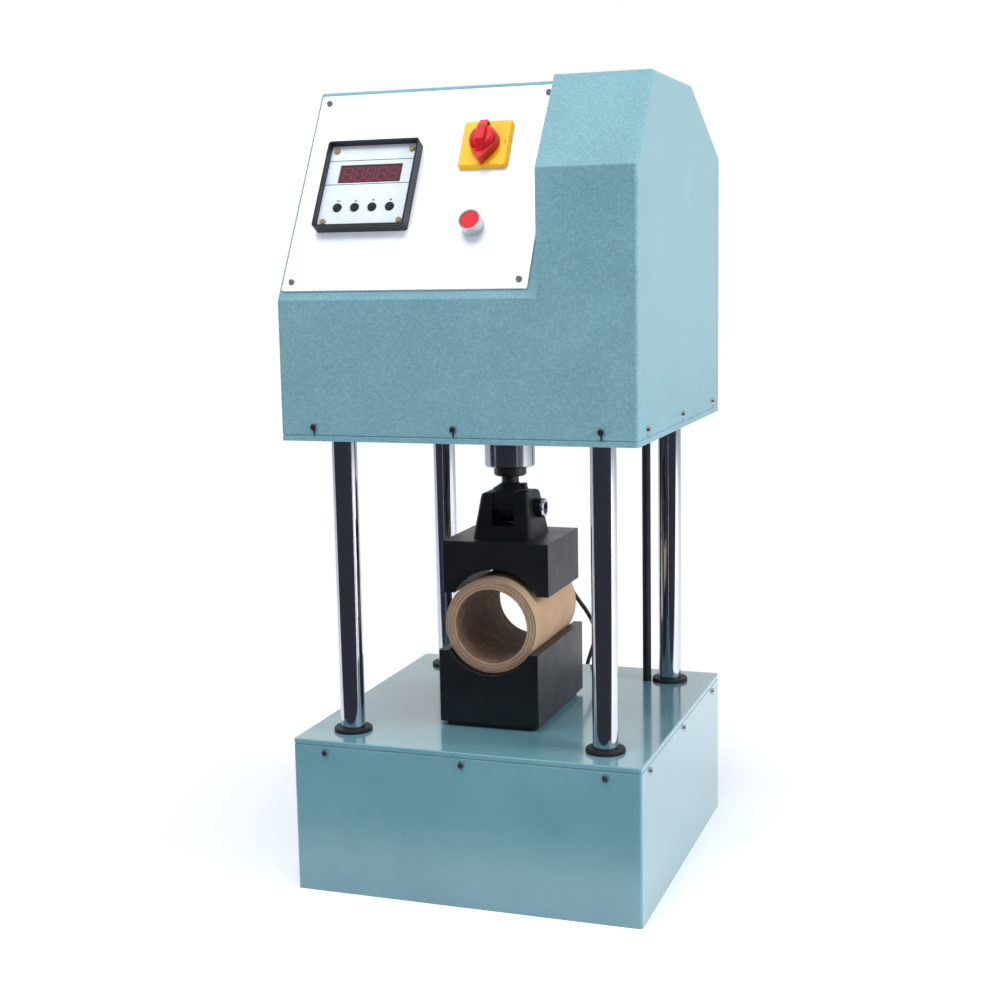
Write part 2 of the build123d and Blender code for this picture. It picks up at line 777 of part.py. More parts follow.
# Ram: a bored bar that slides in the guide bush, with the bronze nut in its top
with BuildPart() as ram:
    with BuildSketch(Plane.XY.offset(ram_foot)):
        with Locations(axis_point):
            Circle(ram_diameter / 2)
    extrude(amount=ram_length)
    chamfer(ram.faces().sort_by(Axis.Z)[0].edges(), ram_chamfer)
    with BuildSketch(Plane.XY.offset(ram_foot)):
        with Locations(axis_point):
            Circle(stud_diameter / 2 + push_fit)
    extrude(amount=stud_length + drill_past, mode=Mode.SUBTRACT)
    with BuildSketch(Plane.XY.offset(ram_foot + ram_floor)):
        with Locations(axis_point):
            Circle(ram_bore / 2)
    extrude(amount=ram_length, mode=Mode.SUBTRACT)
    with BuildSketch(Plane.XY.offset(ram_top - ram_nut_length)):
        with Locations(axis_point):
            Circle(nut_seat_diameter / 2 + push_fit)
    extrude(amount=ram_nut_length, mode=Mode.SUBTRACT)
save(ram.part, "ram")

with BuildPart() as ram_nut:
    with BuildSketch(Plane.XY.offset(ram_top - ram_nut_length)):
        with Locations(axis_point):
            Circle(nut_seat_diameter / 2)
            Circle(screw_diameter / 2 + run_fit, mode=Mode.SUBTRACT)
    extrude(amount=ram_nut_length)
save(ram_nut.part, "ram_nut")

# Drive screw: hangs from the thrust bearing and turns in the ram nut
with BuildPart() as drive_screw:
    with BuildSketch(Plane.XY.offset(screw_foot)):
        with Locations(axis_point):
            Circle(screw_diameter / 2)
    extrude(amount=screw_flange_foot - screw_foot)
    with BuildSketch(Plane.XY.offset(screw_flange_foot)):
        with Locations(axis_point):
            Circle(screw_flange / 2)
    extrude(amount=screw_flange_height)
    with BuildSketch(Plane.XY.offset(bearing_foot)):
        with Locations(axis_point):
            Circle(journal_diameter / 2)
    extrude(amount=gear_foot + gear_width + gear_hub_height + journal_tail - bearing_foot)
    chamfer(drive_screw.faces().sort_by(Axis.Z)[0].edges(), tail_chamfer)
    chamfer(drive_screw.faces().sort_by(Axis.Z)[-1].edges(), tail_chamfer)
save(drive_screw.part, "drive_screw")


def involute(angle):
    """Involute function of a pressure angle in radians."""
    return tan(angle) - angle


def tooth_outline(teeth):
    """One tooth that points along +X, as points up one flank and down the other."""
    pitch_radius = gear_module * teeth / 2
    base_radius = pitch_radius * cos(radians(pressure_angle))
    root_radius = pitch_radius - 1.25 * gear_module
    tip_radius = pitch_radius + gear_module
    half_pitch = pi / (2 * teeth) - gear_backlash / (4 * pitch_radius)
    flank = []
    for radius in (root_radius - gear_module / 2, root_radius, pitch_radius, tip_radius):
        roll = acos(min(1, base_radius / radius))
        half = half_pitch + involute(radians(pressure_angle)) - involute(roll)
        flank.append((radius * cos(half), radius * sin(half)))
    return flank + [(x, -y) for x, y in reversed(flank)]


def gear_teeth(teeth, centre, first_angle):
    """Sketch a spur gear's outline on the current plane, one tooth at first_angle."""
    root_radius = gear_module * teeth / 2 - 1.25 * gear_module
    with Locations(centre):
        Circle(root_radius)
        with PolarLocations(0, teeth, start_angle=first_angle):
            Polygon(*tooth_outline(teeth), align=None)


# Screw gear: the large wheel on the screw's journal
with BuildPart() as screw_gear:
    with BuildSketch(Plane.XY.offset(gear_foot)):
        gear_teeth(wheel_teeth, axis_point, 0)
        with Locations(axis_point):
            Circle(journal_diameter / 2 + push_fit, mode=Mode.SUBTRACT)
    extrude(amount=gear_width)
    with BuildSketch(Plane.XY.offset(gear_foot + gear_width)):
        with Locations(axis_point):
            Circle(gear_hub / 2)
            Circle(journal_diameter / 2 + push_fit, mode=Mode.SUBTRACT)
    extrude(amount=gear_hub_height)
    with BuildSketch(Plane.XY.offset(gear_foot + gear_width)):
        with Locations(axis_point):
            with PolarLocations((wheel_pitch_radius + gear_hub / 2) / 2, 6):
                Circle((wheel_pitch_radius - gear_hub / 2) / 4)
    extrude(amount=-gear_width, mode=Mode.SUBTRACT)
save(screw_gear.part, "screw_gear")

# Motor pinion: cut on the end of the motor's shaft
with BuildPart() as motor_pinion:
    with BuildSketch(Plane.XY.offset(gear_foot)):
        gear_teeth(pinion_teeth, motor_point, 180 / pinion_teeth)
    extrude(amount=gear_width)
    with BuildSketch(Plane.XY.offset(bearing_plate_foot)):
        with Locations(motor_point):
            Circle(motor_shaft / 2)
    extrude(amount=gear_foot - bearing_plate_foot)
save(motor_pinion.part, "motor_pinion")

# Motor: a round motor under a square gearbox, hung from the bearing plate
with BuildPart() as motor:
    with BuildSketch(Plane.XY.offset(bearing_plate_foot - gearbox_length)):
        with Locations(motor_point):
            RectangleRounded(gearbox_side, gearbox_side, gearbox_corner)
    extrude(amount=gearbox_length)
    with BuildSketch(Plane.XY.offset(bearing_plate_foot - gearbox_length)):
        with Locations(motor_point):
            Circle(motor_diameter / 2)
    extrude(amount=-motor_length)
    chamfer(motor.faces().sort_by(Axis.Z)[0].edges(), 2 * edge_break)
    with BuildSketch(Plane.XY.offset(bearing_plate_foot)):
        with Locations(motor_point):
            Circle(motor_spigot / 2)
    extrude(amount=motor_spigot_height)
    with BuildSketch(Plane.XY.offset(bearing_plate_foot + motor_spigot_height)):
        with Locations(motor_point):
            Circle(motor_shaft / 2 + run_fit)
    extrude(amount=-motor_spigot_height - edge_break, mode=Mode.SUBTRACT)
save(motor.part, "motor")

# Bearing plate, thrust bearing and posts: the frame that carries the screw
with BuildPart() as bearing_plate:
    with BuildSketch(Plane.XY.offset(bearing_plate_foot)):
        with Locations((bearing_plate_middle, axis_y)):
            Rectangle(bearing_plate_width, bearing_plate_depth)
        with Locations(axis_point):
            Circle(journal_diameter / 2 + pass_gap, mode=Mode.SUBTRACT)
        with Locations(motor_point):
            Circle(motor_shaft / 2 + 2 * pass_gap, mode=Mode.SUBTRACT)
    extrude(amount=bearing_plate_thickness)
    with BuildSketch(Plane.XY.offset(bearing_plate_foot)):
        with Locations(axis_point):
            Circle(bearing_diameter / 2 + push_fit)
    extrude(amount=bearing_seat, mode=Mode.SUBTRACT)
    with BuildSketch(Plane.XY.offset(bearing_plate_foot)):
        with Locations(motor_point):
            Circle(motor_spigot / 2 + push_fit)
    extrude(amount=motor_spigot_height, mode=Mode.SUBTRACT)
save(bearing_plate.part, "bearing_plate")

with BuildPart() as thrust_bearing:
    with BuildSketch(Plane.XY.offset(bearing_foot)):
        with Locations(axis_point):
            Circle(bearing_diameter / 2)
            Circle(journal_diameter / 2 + run_fit, mode=Mode.SUBTRACT)
    extrude(amount=bearing_height)
    chamfer(thrust_bearing.faces().sort_by(Axis.Z)[0].outer_wire().edges(), edge_break)
save(thrust_bearing.part, "thrust_bearing")

with BuildPart() as frame_posts:
    with BuildSketch(Plane.XY.offset(crosshead_top)):
        with Locations(*post_points):
            Circle(post_diameter / 2)
    extrude(amount=bearing_plate_foot - crosshead_top)
save(frame_posts.part, "frame_posts")

# Guide bush: a flanged sleeve through both head plates
with BuildPart() as guide_bush:
    with BuildSketch(Plane.XY.offset(head_underside)):
        with Locations(axis_point):
            Circle(bush_diameter / 2)
    extrude(amount=crosshead_top - head_underside)
    with BuildSketch(Plane.XY.offset(crosshead_top)):
        with Locations(axis_point):
            Circle(bush_flange / 2)
    extrude(amount=bush_flange_height)
    chamfer(guide_bush.faces().sort_by(Axis.Z)[-1].outer_wire().edges(), edge_break)
    with BuildSketch(Plane.XY.offset(head_underside)):
        with Locations(axis_point):
            Circle(ram_diameter / 2 + run_fit)
    extrude(amount=crosshead_top + bush_flange_height - head_underside, mode=Mode.SUBTRACT)
save(guide_bush.part, "guide_bush")

# Head lip plate: the painted plate that closes the head from below
with BuildPart() as head_lip_plate:
    with BuildSketch(Plane.XY.offset(head_underside)):
        RectangleRounded(head_width, head_depth, fold_radius)
        with Locations(*column_points):
            Circle(column_diameter / 2 + pass_gap, mode=Mode.SUBTRACT)
        with Locations(axis_point):
            Circle(bush_diameter / 2 + push_fit, mode=Mode.SUBTRACT)
        with Locations(conduit_point):
            Circle(conduit_diameter / 2 + pass_gap, mode=Mode.SUBTRACT)
    extrude(amount=lip_thickness)
    chamfer(head_lip_plate.faces().sort_by(Axis.Z)[-1].outer_wire().edges(), edge_break)
save(head_lip_plate.part, "head_lip_plate")

# Crosshead plate: the thick plate on the columns' upper shoulders
with BuildPart() as crosshead_plate:
    with BuildSketch(Plane.XY.offset(head_plate_foot)):
        Rectangle(head_width - 2 * sheet - 2 * side_gap, head_depth - 2 * sheet - 2 * side_gap)
        with Locations(*column_points):
            Circle(column_spigot / 2 + push_fit, mode=Mode.SUBTRACT)
        with Locations(axis_point):
            Circle(bush_diameter / 2 + push_fit, mode=Mode.SUBTRACT)
        with Locations(conduit_point):
            Circle(conduit_diameter / 2 + pass_gap, mode=Mode.SUBTRACT)
    extrude(amount=crosshead_thickness)
    for wall, spread in zip(head_walls, head_spreads):
        with BuildSketch(wall):
            with GridLocations(spread, 1, 3, 1):
                Circle(wall_screw_shank / 2 + push_fit)
        extrude(amount=-wall_screw_reach - drill_past, mode=Mode.SUBTRACT)
save(crosshead_plate.part, "crosshead_plate")


def head_outline(front_crease, slope_top, foot):
    """Corner points of the head's side view as (Y, Z), from the front foot upwards."""
    return [
        (-half_head, foot),
        (-half_head, front_crease),
        (slope_top, head_top),
        (rear_slope_top, head_top),
        (half_head, rear_crease),
        (half_head, foot),
    ]


def head_section(left, right, outline, inset, radius):
    """Add or cut one straight length of the head between two X places."""
    with BuildSketch(Plane.YZ.offset(left)) as section:
        Polygon(*outline, align=None)
        if inset:
            offset(amount=-inset, kind=Kind.INTERSECTION, mode=Mode.REPLACE)
        folds = section.vertices().filter_by(lambda corner: corner.Y > low_crease - sheet * 2)
        fillet(folds, radius)
    extrude(
        section.sketch, amount=right - left, mode=Mode.SUBTRACT if inset else Mode.ADD
    )


low_outline = head_outline(low_crease, low_slope_top, head_plate_foot)
tall_outline = head_outline(tall_crease, tall_slope_top, head_plate_foot)
low_hollow = head_outline(low_crease, low_slope_top, head_plate_foot - 2 * sheet)
tall_hollow = head_outline(tall_crease, tall_slope_top, head_plate_foot - 2 * sheet)

# Head shell: a low section with the panel's slope and a tall section beside it
with BuildPart() as head_shell:
    head_section(-head_width / 2, step_x, low_outline, 0, fold_radius)
    head_section(step_x, head_width / 2, tall_outline, 0, fold_radius)
    fillet(head_shell.edges().filter_by(Axis.Z).group_by(Axis.X)[0], fold_radius)
    fillet(head_shell.edges().filter_by(Axis.Z).group_by(Axis.X)[-1], fold_radius)
    chamfer(head_shell.faces().sort_by(Axis.Z)[0].outer_wire().edges(), edge_break)
    head_section(-head_width / 2 + sheet, step_x + sheet, low_hollow, sheet, fold_radius - sheet)
    head_section(step_x + sheet, head_width / 2 - sheet, tall_hollow, sheet, fold_radius - sheet)
    for wall, spread in zip(head_walls, head_spreads):
        with BuildSketch(wall):
            with GridLocations(spread, 1, 3, 1):
                Circle(wall_screw_shank / 2 + pass_gap)
                Rectangle(slot_width, 2 * head_screw_rise, align=(Align.CENTER, Align.MAX))
        extrude(amount=-sheet - side_gap / 2, mode=Mode.SUBTRACT)

seam_y = half_head - seam_from_rear
with BuildPart() as head_cover:
    add(head_shell.part)
    with BuildSketch(Plane.XZ.offset(-seam_y + seam_gap / 2)):
        with Locations((0, head_plate_foot - sheet)):
            Rectangle(2 * head_width, head_top, align=(Align.CENTER, Align.MIN))
    extrude(amount=-head_depth, mode=Mode.SUBTRACT)
    with BuildSketch(slope):
        with Locations(meter_centre):
            Rectangle(meter_opening, meter_opening)
        with Locations(switch_centre):
            Circle(switch_neck / 2 + pass_gap)
        with Locations(button_centre):
            Circle(button_neck / 2 + pass_gap)
        with Locations(panel_centre):
            with GridLocations(
                panel_width - 2 * panel_screw_inset, panel_height - 2 * panel_screw_inset, 2, 2
            ):
                Circle(panel_screw_shank / 2 + push_fit)
    extrude(amount=2 * sheet, both=True, mode=Mode.SUBTRACT)
save(head_cover.part, "head_cover")

with BuildPart() as rear_cover:
    add(head_shell.part)
    with BuildSketch(Plane.XZ.offset(-seam_y - seam_gap / 2)):
        with Locations((0, head_plate_foot - sheet)):
            Rectangle(2 * head_width, head_top, align=(Align.CENTER, Align.MIN))
    extrude(amount=head_depth, mode=Mode.SUBTRACT)
save(rear_cover.part, "rear_cover")


def wall_screws(walls, spreads):
    """Chamfered heads outside the walls with shanks into the plate behind them."""
    for wall, spread in zip(walls, spreads):
        with BuildSketch(wall) as heads:
            with GridLocations(spread, 1, 3, 1):
                Circle(wall_screw_head / 2)
        extrude(heads.sketch, amount=wall_screw_head_height, taper=20)
        with BuildSketch(wall) as shanks:
            with GridLocations(spread, 1, 3, 1):
                Circle(wall_screw_shank / 2)
        extrude(shanks.sketch, amount=-wall_screw_reach)


with BuildPart() as base_screws:
    wall_screws(base_walls, base_spreads)
save(base_screws.part, "base_screws")

with BuildPart() as head_screws:
    wall_screws(head_walls, head_spreads)
save(head_screws.part, "head_screws")

# Control panel: the white plate on the slope, cut out for what it carries
with BuildPart() as control_panel:
    with BuildSketch(slope):
        with Locations(panel_centre):
            RectangleRounded(panel_width, panel_height, panel_corner)
            with GridLocations(
                panel_width - 2 * panel_screw_inset, panel_height - 2 * panel_screw_inset, 2, 2
            ):
                Circle(panel_screw_shank / 2 + push_fit, mode=Mode.SUBTRACT)
        with Locations(meter_centre):
            Rectangle(meter_opening, meter_opening, mode=Mode.SUBTRACT)
        with Locations(switch_centre):
            Circle(switch_neck / 2 + pass_gap, mode=Mode.SUBTRACT)
        with Locations(button_centre):
            Circle(button_neck / 2 + pass_gap, mode=Mode.SUBTRACT)
    extrude(amount=panel_thickness)
save(control_panel.part, "control_panel")

with BuildPart() as panel_screws:
    with BuildSketch(panel_face):
        with Locations(panel_centre):
            with GridLocations(
                panel_width - 2 * panel_screw_inset, panel_height - 2 * panel_screw_inset, 2, 2
            ):
                Circle(panel_screw_head / 2)
    extrude(amount=panel_screw_height, taper=20)
    with BuildSketch(panel_face):
        with Locations(panel_centre):
            with GridLocations(
                panel_width - 2 * panel_screw_inset, panel_height - 2 * panel_screw_inset, 2, 2
            ):
                Circle(panel_screw_shank / 2)
    extrude(amount=-panel_screw_reach)
save(panel_screws.part, "panel_screws")

# Panel meter: a deep square frame round a face plate, a window and four keys
key_spots = [
    (meter_x + (index - (key_count - 1) / 2) * key_pitch, meter_up + key_up)
    for index in range(key_count)
]
window_spot = (meter_x, meter_up + window_up)
with BuildPart() as meter_bezel:
    with BuildSketch(panel_face):
        with Locations(meter_centre):
            RectangleRounded(meter_side, meter_side, meter_corner)
            Rectangle(meter_opening, meter_opening, mode=Mode.SUBTRACT)
    extrude(amount=meter_rise)
save(meter_bezel.part, "meter_bezel")

with BuildPart() as meter_case:
    with BuildSketch(panel_face.offset(case_front)):
        with Locations(meter_centre):
            Rectangle(meter_case_side, meter_case_side)
    extrude(amount=-case_front - meter_case_depth)
    with BuildSketch(panel_face.offset(case_front)):
        with Locations(window_spot):
            Rectangle(window_width + 2 * window_lap, window_height + 2 * window_lap)
    extrude(amount=-window_thickness, mode=Mode.SUBTRACT)
    with BuildSketch(panel_face.offset(case_front)):
        with Locations(*key_spots):
            Circle(key_radius + key_gap)
    extrude(amount=key_rise - key_length - key_travel, mode=Mode.SUBTRACT)
    with BuildSketch(panel_face.offset(case_front)):
        with Locations(meter_centre):
            with GridLocations(meter_screw_spread, meter_screw_spread, 2, 2):
                Circle(meter_screw_shank / 2 + push_fit)
    extrude(amount=-meter_screw_reach, mode=Mode.SUBTRACT)
save(meter_case.part, "meter_case")

with BuildPart() as meter_face:
    with BuildSketch(panel_face.offset(case_front)):
        with Locations(meter_centre):
            Rectangle(meter_case_side, meter_case_side)
            with GridLocations(meter_screw_spread, meter_screw_spread, 2, 2):
                Circle(meter_screw_shank / 2 + push_fit, mode=Mode.SUBTRACT)
        with Locations(window_spot):
            Rectangle(window_width, window_height, mode=Mode.SUBTRACT)
        with Locations(*key_spots):
            Circle(key_radius + key_gap, mode=Mode.SUBTRACT)
    extrude(amount=meter_face_thickness)
save(meter_face.part, "meter_face")

with BuildPart() as display_window:
    with BuildSketch(panel_face.offset(case_front - window_thickness)):
        with Locations(window_spot):
            Rectangle(
                window_width + 2 * window_lap - 2 * push_fit,
                window_height + 2 * window_lap - 2 * push_fit,
            )
    extrude(amount=window_thickness)
save(display_window.part, "display_window")

with BuildPart() as meter_screws:
    with BuildSketch(panel_face.offset(meter_floor)):
        with Locations(meter_centre):
            with GridLocations(meter_screw_spread, meter_screw_spread, 2, 2):
                Circle(meter_screw_head / 2)
    extrude(amount=meter_screw_height, taper=20)
    with BuildSketch(panel_face.offset(meter_floor)):
        with Locations(meter_centre):
            with GridLocations(meter_screw_spread, meter_screw_spread, 2, 2):
                Circle(meter_screw_shank / 2)
    extrude(amount=-meter_screw_reach)
save(meter_screws.part, "meter_screws")

for index, spot in enumerate(key_spots):
    with BuildPart() as meter_key:
        with BuildSketch(panel_face.offset(meter_floor + key_rise - key_length)):
            with Locations(spot):
                Circle(key_radius)
        extrude(amount=key_length)
        top_rim = meter_key.edges().filter_by(GeomType.CIRCLE).sort_by(Axis.Z)[-1]
        chamfer(top_rim, key_gap)
    save(meter_key.part, f"meter_key_{index + 1}")

# Rotary switch: a bevelled plate, its contact block behind the panel, and the knob
with BuildPart() as switch_plate:
    with BuildSketch(panel_face):
        with Locations(switch_centre):
            RectangleRounded(switch_width, switch_height, switch_corner)
    extrude(amount=switch_thickness)
    rim = switch_plate.faces().filter_by(
        lambda face: abs(face.normal_at().dot(slope.z_dir) - 1) < angle_tolerance
    )
    chamfer(rim[0].outer_wire().edges(), switch_bevel)
    with BuildSketch(panel_face):
        with Locations(switch_centre):
            Circle(knob_stem / 2 + pass_gap)
    extrude(amount=switch_thickness, mode=Mode.SUBTRACT)
save(switch_plate.part, "switch_plate")

with BuildPart() as switch_body:
    with BuildSketch(slope.offset(-sheet)):
        with Locations(switch_centre):
            RectangleRounded(switch_body_side, switch_body_side, switch_body_corner)
    extrude(amount=-switch_body_depth)
    with BuildSketch(slope.offset(-sheet)):
        with Locations(switch_centre):
            Circle(switch_neck / 2)
    extrude(amount=sheet + panel_thickness)
    with BuildSketch(panel_face):
        with Locations(switch_centre):
            Circle(knob_stem / 2 + run_fit)
    extrude(amount=-knob_stem_length, mode=Mode.SUBTRACT)
save(switch_body.part, "switch_body")

knob_base = panel_face.offset(switch_thickness + knob_gap)
knob_side = Plane(
    origin=knob_base.from_local_coords((switch_x, switch_up, 0)),
    x_dir=slope.y_dir,
    z_dir=(1, 0, 0),
)
with BuildPart() as knob_grip:
    with BuildSketch(knob_side):
        Polygon(
            (-knob_point_reach + knob_grip_width / 2, 0),
            (-knob_point_reach + knob_grip_width / 2, knob_tip_height),
            (-knob_crest, knob_grip_height),
            (knob_tab_crest, knob_grip_height),
            (knob_tab_reach, knob_tab_height),
            (knob_tab_reach, 0),
            align=None,
        )
    extrude(amount=knob_grip_width / 2, both=True)
    fillet(knob_grip.edges(), knob_grip_round)
    with BuildSketch(knob_side):
        with Locations((knob_tab_reach - padlock_hole, knob_tab_height - padlock_hole / 4)):
            Circle(padlock_hole / 2)
    extrude(amount=knob_diameter, both=True, mode=Mode.SUBTRACT)

with BuildPart() as switch_knob:
    with BuildSketch(knob_base):
        with Locations(switch_centre):
            Circle(knob_diameter / 2)
    extrude(amount=knob_hub_height, taper=knob_hub_taper)
    fillet(switch_knob.faces().sort_by(Axis(knob_side.origin, slope.z_dir))[-1].edges(), knob_hub_round)
    with BuildSketch(knob_base):
        with Locations(switch_centre):
            Polygon(
                (-knob_point_width / 2, 0),
                (-knob_point_width / 2, -knob_point_root),
                (0, -knob_point_reach),
                (knob_point_width / 2, -knob_point_root),
                (knob_point_width / 2, 0),
                align=None,
            )
    extrude(amount=knob_point_height, taper=knob_hub_taper)
    add(knob_grip.part)
    with BuildSketch(knob_base):
        with Locations(switch_centre):
            Circle(knob_stem / 2)
    extrude(amount=-knob_gap - switch_thickness - knob_stem_length + drill_past)
save(switch_knob.part, "switch_knob")

# Reset button: a bezel screwed through the panel, its block, and the sprung cap
with BuildPart() as button_bezel:
    with BuildSketch(panel_face):
        with Locations(button_centre):
            Circle(button_diameter / 2)
    extrude(amount=button_rise)
    with BuildSketch(panel_face.offset(button_floor)):
        with Locations(button_centre):
            Circle(button_diameter / 2 - button_wall)
    extrude(amount=button_rise, mode=Mode.SUBTRACT)
    with BuildSketch(slope.offset(-sheet)):
        with Locations(button_centre):
            Circle(button_neck / 2)
    extrude(amount=sheet + panel_thickness)
    with BuildSketch(slope.offset(-sheet)):
        with Locations(button_centre):
            Circle(plunger_diameter / 2 + key_gap)
    extrude(amount=sheet + panel_thickness + button_floor, mode=Mode.SUBTRACT)
save(button_bezel.part, "button_bezel")

cap_foot = button_floor + cap_travel + cap_rest
plunger_foot = cap_foot - plunger_length
with BuildPart() as button_body:
    with BuildSketch(slope.offset(-sheet)):
        with Locations(button_centre):
            RectangleRounded(button_body_side, button_body_side, button_body_corner)
    extrude(amount=-button_body_depth)
    with BuildSketch(slope.offset(-sheet)):
        with Locations(button_centre):
            Circle(plunger_diameter / 2 + key_gap)
    extrude(amount=plunger_foot + sheet + panel_thickness - cap_travel - cap_rest, mode=Mode.SUBTRACT)
save(button_body.part, "button_body")

with BuildPart() as reset_cap:
    with BuildSketch(panel_face.offset(cap_foot)):
        with Locations(button_centre):
            Circle(cap_radius)
    extrude(amount=button_rise - cap_sink - cap_foot)
    with BuildSketch(panel_face.offset(plunger_foot)):
        with Locations(button_centre):
            Circle(plunger_diameter / 2)
    extrude(amount=plunger_length)
save(reset_cap.part, "reset_cap")

# Mains inlet: a flanged socket with three pins in the rear wall
rear_face = Plane(origin=(inlet_x, base_depth / 2, inlet_z), x_dir=(-1, 0, 0), z_dir=(0, 1, 0))
with BuildPart() as mains_inlet:
    with BuildSketch(rear_face):
        RectangleRounded(inlet_width, inlet_height, inlet_corner)
    extrude(amount=inlet_flange)
    with BuildSketch(rear_face):
        Rectangle(inlet_body_width, inlet_body_height)
    extrude(amount=-inlet_body_depth)
    with BuildSketch(rear_face.offset(inlet_flange)):
        Rectangle(inlet_cavity_width, inlet_cavity_height)
    extrude(amount=-inlet_cavity_depth, mode=Mode.SUBTRACT)
    with BuildSketch(rear_face.offset(inlet_flange - inlet_cavity_depth)):
        with Locations(
            (-inlet_pin_pitch, inlet_pin_up), (0, inlet_pin_up + edge_break), (inlet_pin_pitch, inlet_pin_up)
        ):
            Rectangle(inlet_pin_width, inlet_pin_height)
    extrude(amount=inlet_pin_length)
save(mains_inlet.part, "mains_inlet")

# Cable gland: screwed through the rear wall, its dome outside
gland_face = Plane(origin=(gland_x, base_depth / 2, gland_z), x_dir=(-1, 0, 0), z_dir=(0, 1, 0))
with BuildPart() as cable_gland:
    with BuildSketch(gland_face):
        RegularPolygon(gland_flats / 2, 6, major_radius=False)
    extrude(amount=gland_nut)
    with BuildSketch(gland_face.offset(gland_nut)):
        Circle(gland_dome / 2)
    extrude(amount=gland_dome_length, taper=8)
    with BuildSketch(gland_face):
        Circle(gland_thread / 2)
    extrude(amount=-gland_inside)
    with BuildSketch(gland_face.offset(-sheet)):
        RegularPolygon(gland_flats / 2, 6, major_radius=False)
    extrude(amount=-gland_nut)
save(cable_gland.part, "cable_gland")

# Supply: a vented metal box on the bottom cover
supply_foot = sheet + bottom_sheet
with BuildPart() as power_supply:
    with BuildSketch(Plane.XY.offset(supply_foot)):
        with Locations((supply_x, supply_y)):
            Rectangle(supply_width, supply_depth)
    extrude(amount=supply_height)
    with BuildSketch(Plane.XY.offset(supply_foot + supply_height)):
        with Locations((supply_x, supply_y)):
            with GridLocations(2 * supply_slot + supply_slot, 1, supply_slots, 1):
                SlotOverall(supply_depth / 2, supply_slot, rotation=90)
    extrude(amount=-supply_slot, mode=Mode.SUBTRACT)
save(power_supply.part, "power_supply")

# Drive board: the motor's controller on four pillars over the bottom cover
with BuildPart() as drive_board:
    with BuildSketch(Plane.XY.offset(supply_foot)):
        with Locations((board_x, supply_y)):
            with GridLocations(board_width - board_pillar_inset, board_depth - board_pillar_inset, 2, 2):
                Circle(board_pillar / 2)
    extrude(amount=board_lift)
    with BuildSketch(Plane.XY.offset(supply_foot + board_lift)):
        with Locations((board_x, supply_y)):
            Rectangle(board_width, board_depth)
    extrude(amount=board_thickness)
    with BuildSketch(Plane.XY.offset(supply_foot + board_lift + board_thickness)):
        with Locations((board_x, supply_y - board_depth / 4)):
            with GridLocations(board_width / 4, 1, 3, 1):
                Rectangle(board_chip, board_chip)
    extrude(amount=board_chip_height)
    with BuildSketch(Plane.XY.offset(supply_foot + board_lift + board_thickness)):
        with Locations((board_x, supply_y + board_depth / 4)):
            with GridLocations(2 * sink_fin, 1, sink_fins, 1):
                Rectangle(sink_fin, board_depth / 3)
    extrude(amount=sink_height)
save(drive_board.part, "drive_board")

# Load cell cable: a slack loop from the load cell's gland to the gland in the rear wall
cell_end_y = axis_y + tongue_depth / 2 + cell_gland_length
cell_end_z = clevis_top - cell_gland_drop
gland_end_y = base_depth / 2 + gland_nut + gland_dome_length
cable_route = [
    (0, cell_end_y, cell_end_z),
    (0, cell_end_y + cable_lead, cell_end_z),
    (1, 41, 373),
    (2, 60, 351),
    (4, 82, 324),
    (6, 110, 297),
    (8, 139, 272),
    (10, 161, 253),
    (15, 175, 237),
    (23, 186, 220),
    (29, 196, 202),
    (27, 206, 183),
    (19, 215, 164),
    (12, 223, 148),
    (8.5, 227, 131),
    *[(gland_x, gland_end_y + reach, gland_z + rise) for reach, rise in gland_loop],
    (gland_x, gland_end_y, gland_z),
]


def bend_radii(points):
    """The largest radius that each inner point's two runs leave room for."""
    radii = []
    for before, corner, after in zip(points, points[1:], points[2:]):
        run_in = Vector(*corner) - Vector(*before)
        run_out = Vector(*after) - Vector(*corner)
        half_turn = radians(run_in.get_angle(run_out)) / 2
        shorter = min(run_in.length, run_out.length)
        radii.append(bend_share * shorter / tan(half_turn))
    return radii


cable_radii = bend_radii(cable_route)
print("cable radii", [round(radius, 1) for radius in cable_radii])
with BuildPart() as load_cable:
    with BuildLine() as cable_path:
        FilletPolyline(*cable_route, radius=cable_radii)
    cable_start = Plane(origin=cable_path.line @ 0, z_dir=cable_path.line % 0)
    with BuildSketch(cable_start):
        Circle(cable_diameter / 2)
    sweep()
cable_length = cable_path.wires()[0].length
print("cable length", round(cable_length, 1))
print("volume ratio", load_cable.part.volume / (pi * cable_diameter**2 / 4 * cable_length))
save(load_cable.part, "load_cable")
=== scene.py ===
import logging
from dataclasses import dataclass
from enum import Enum
from math import atan2, cos, pi, radians, sin, tan

import bpy
import numpy as np
from mathutils import Matrix, Vector


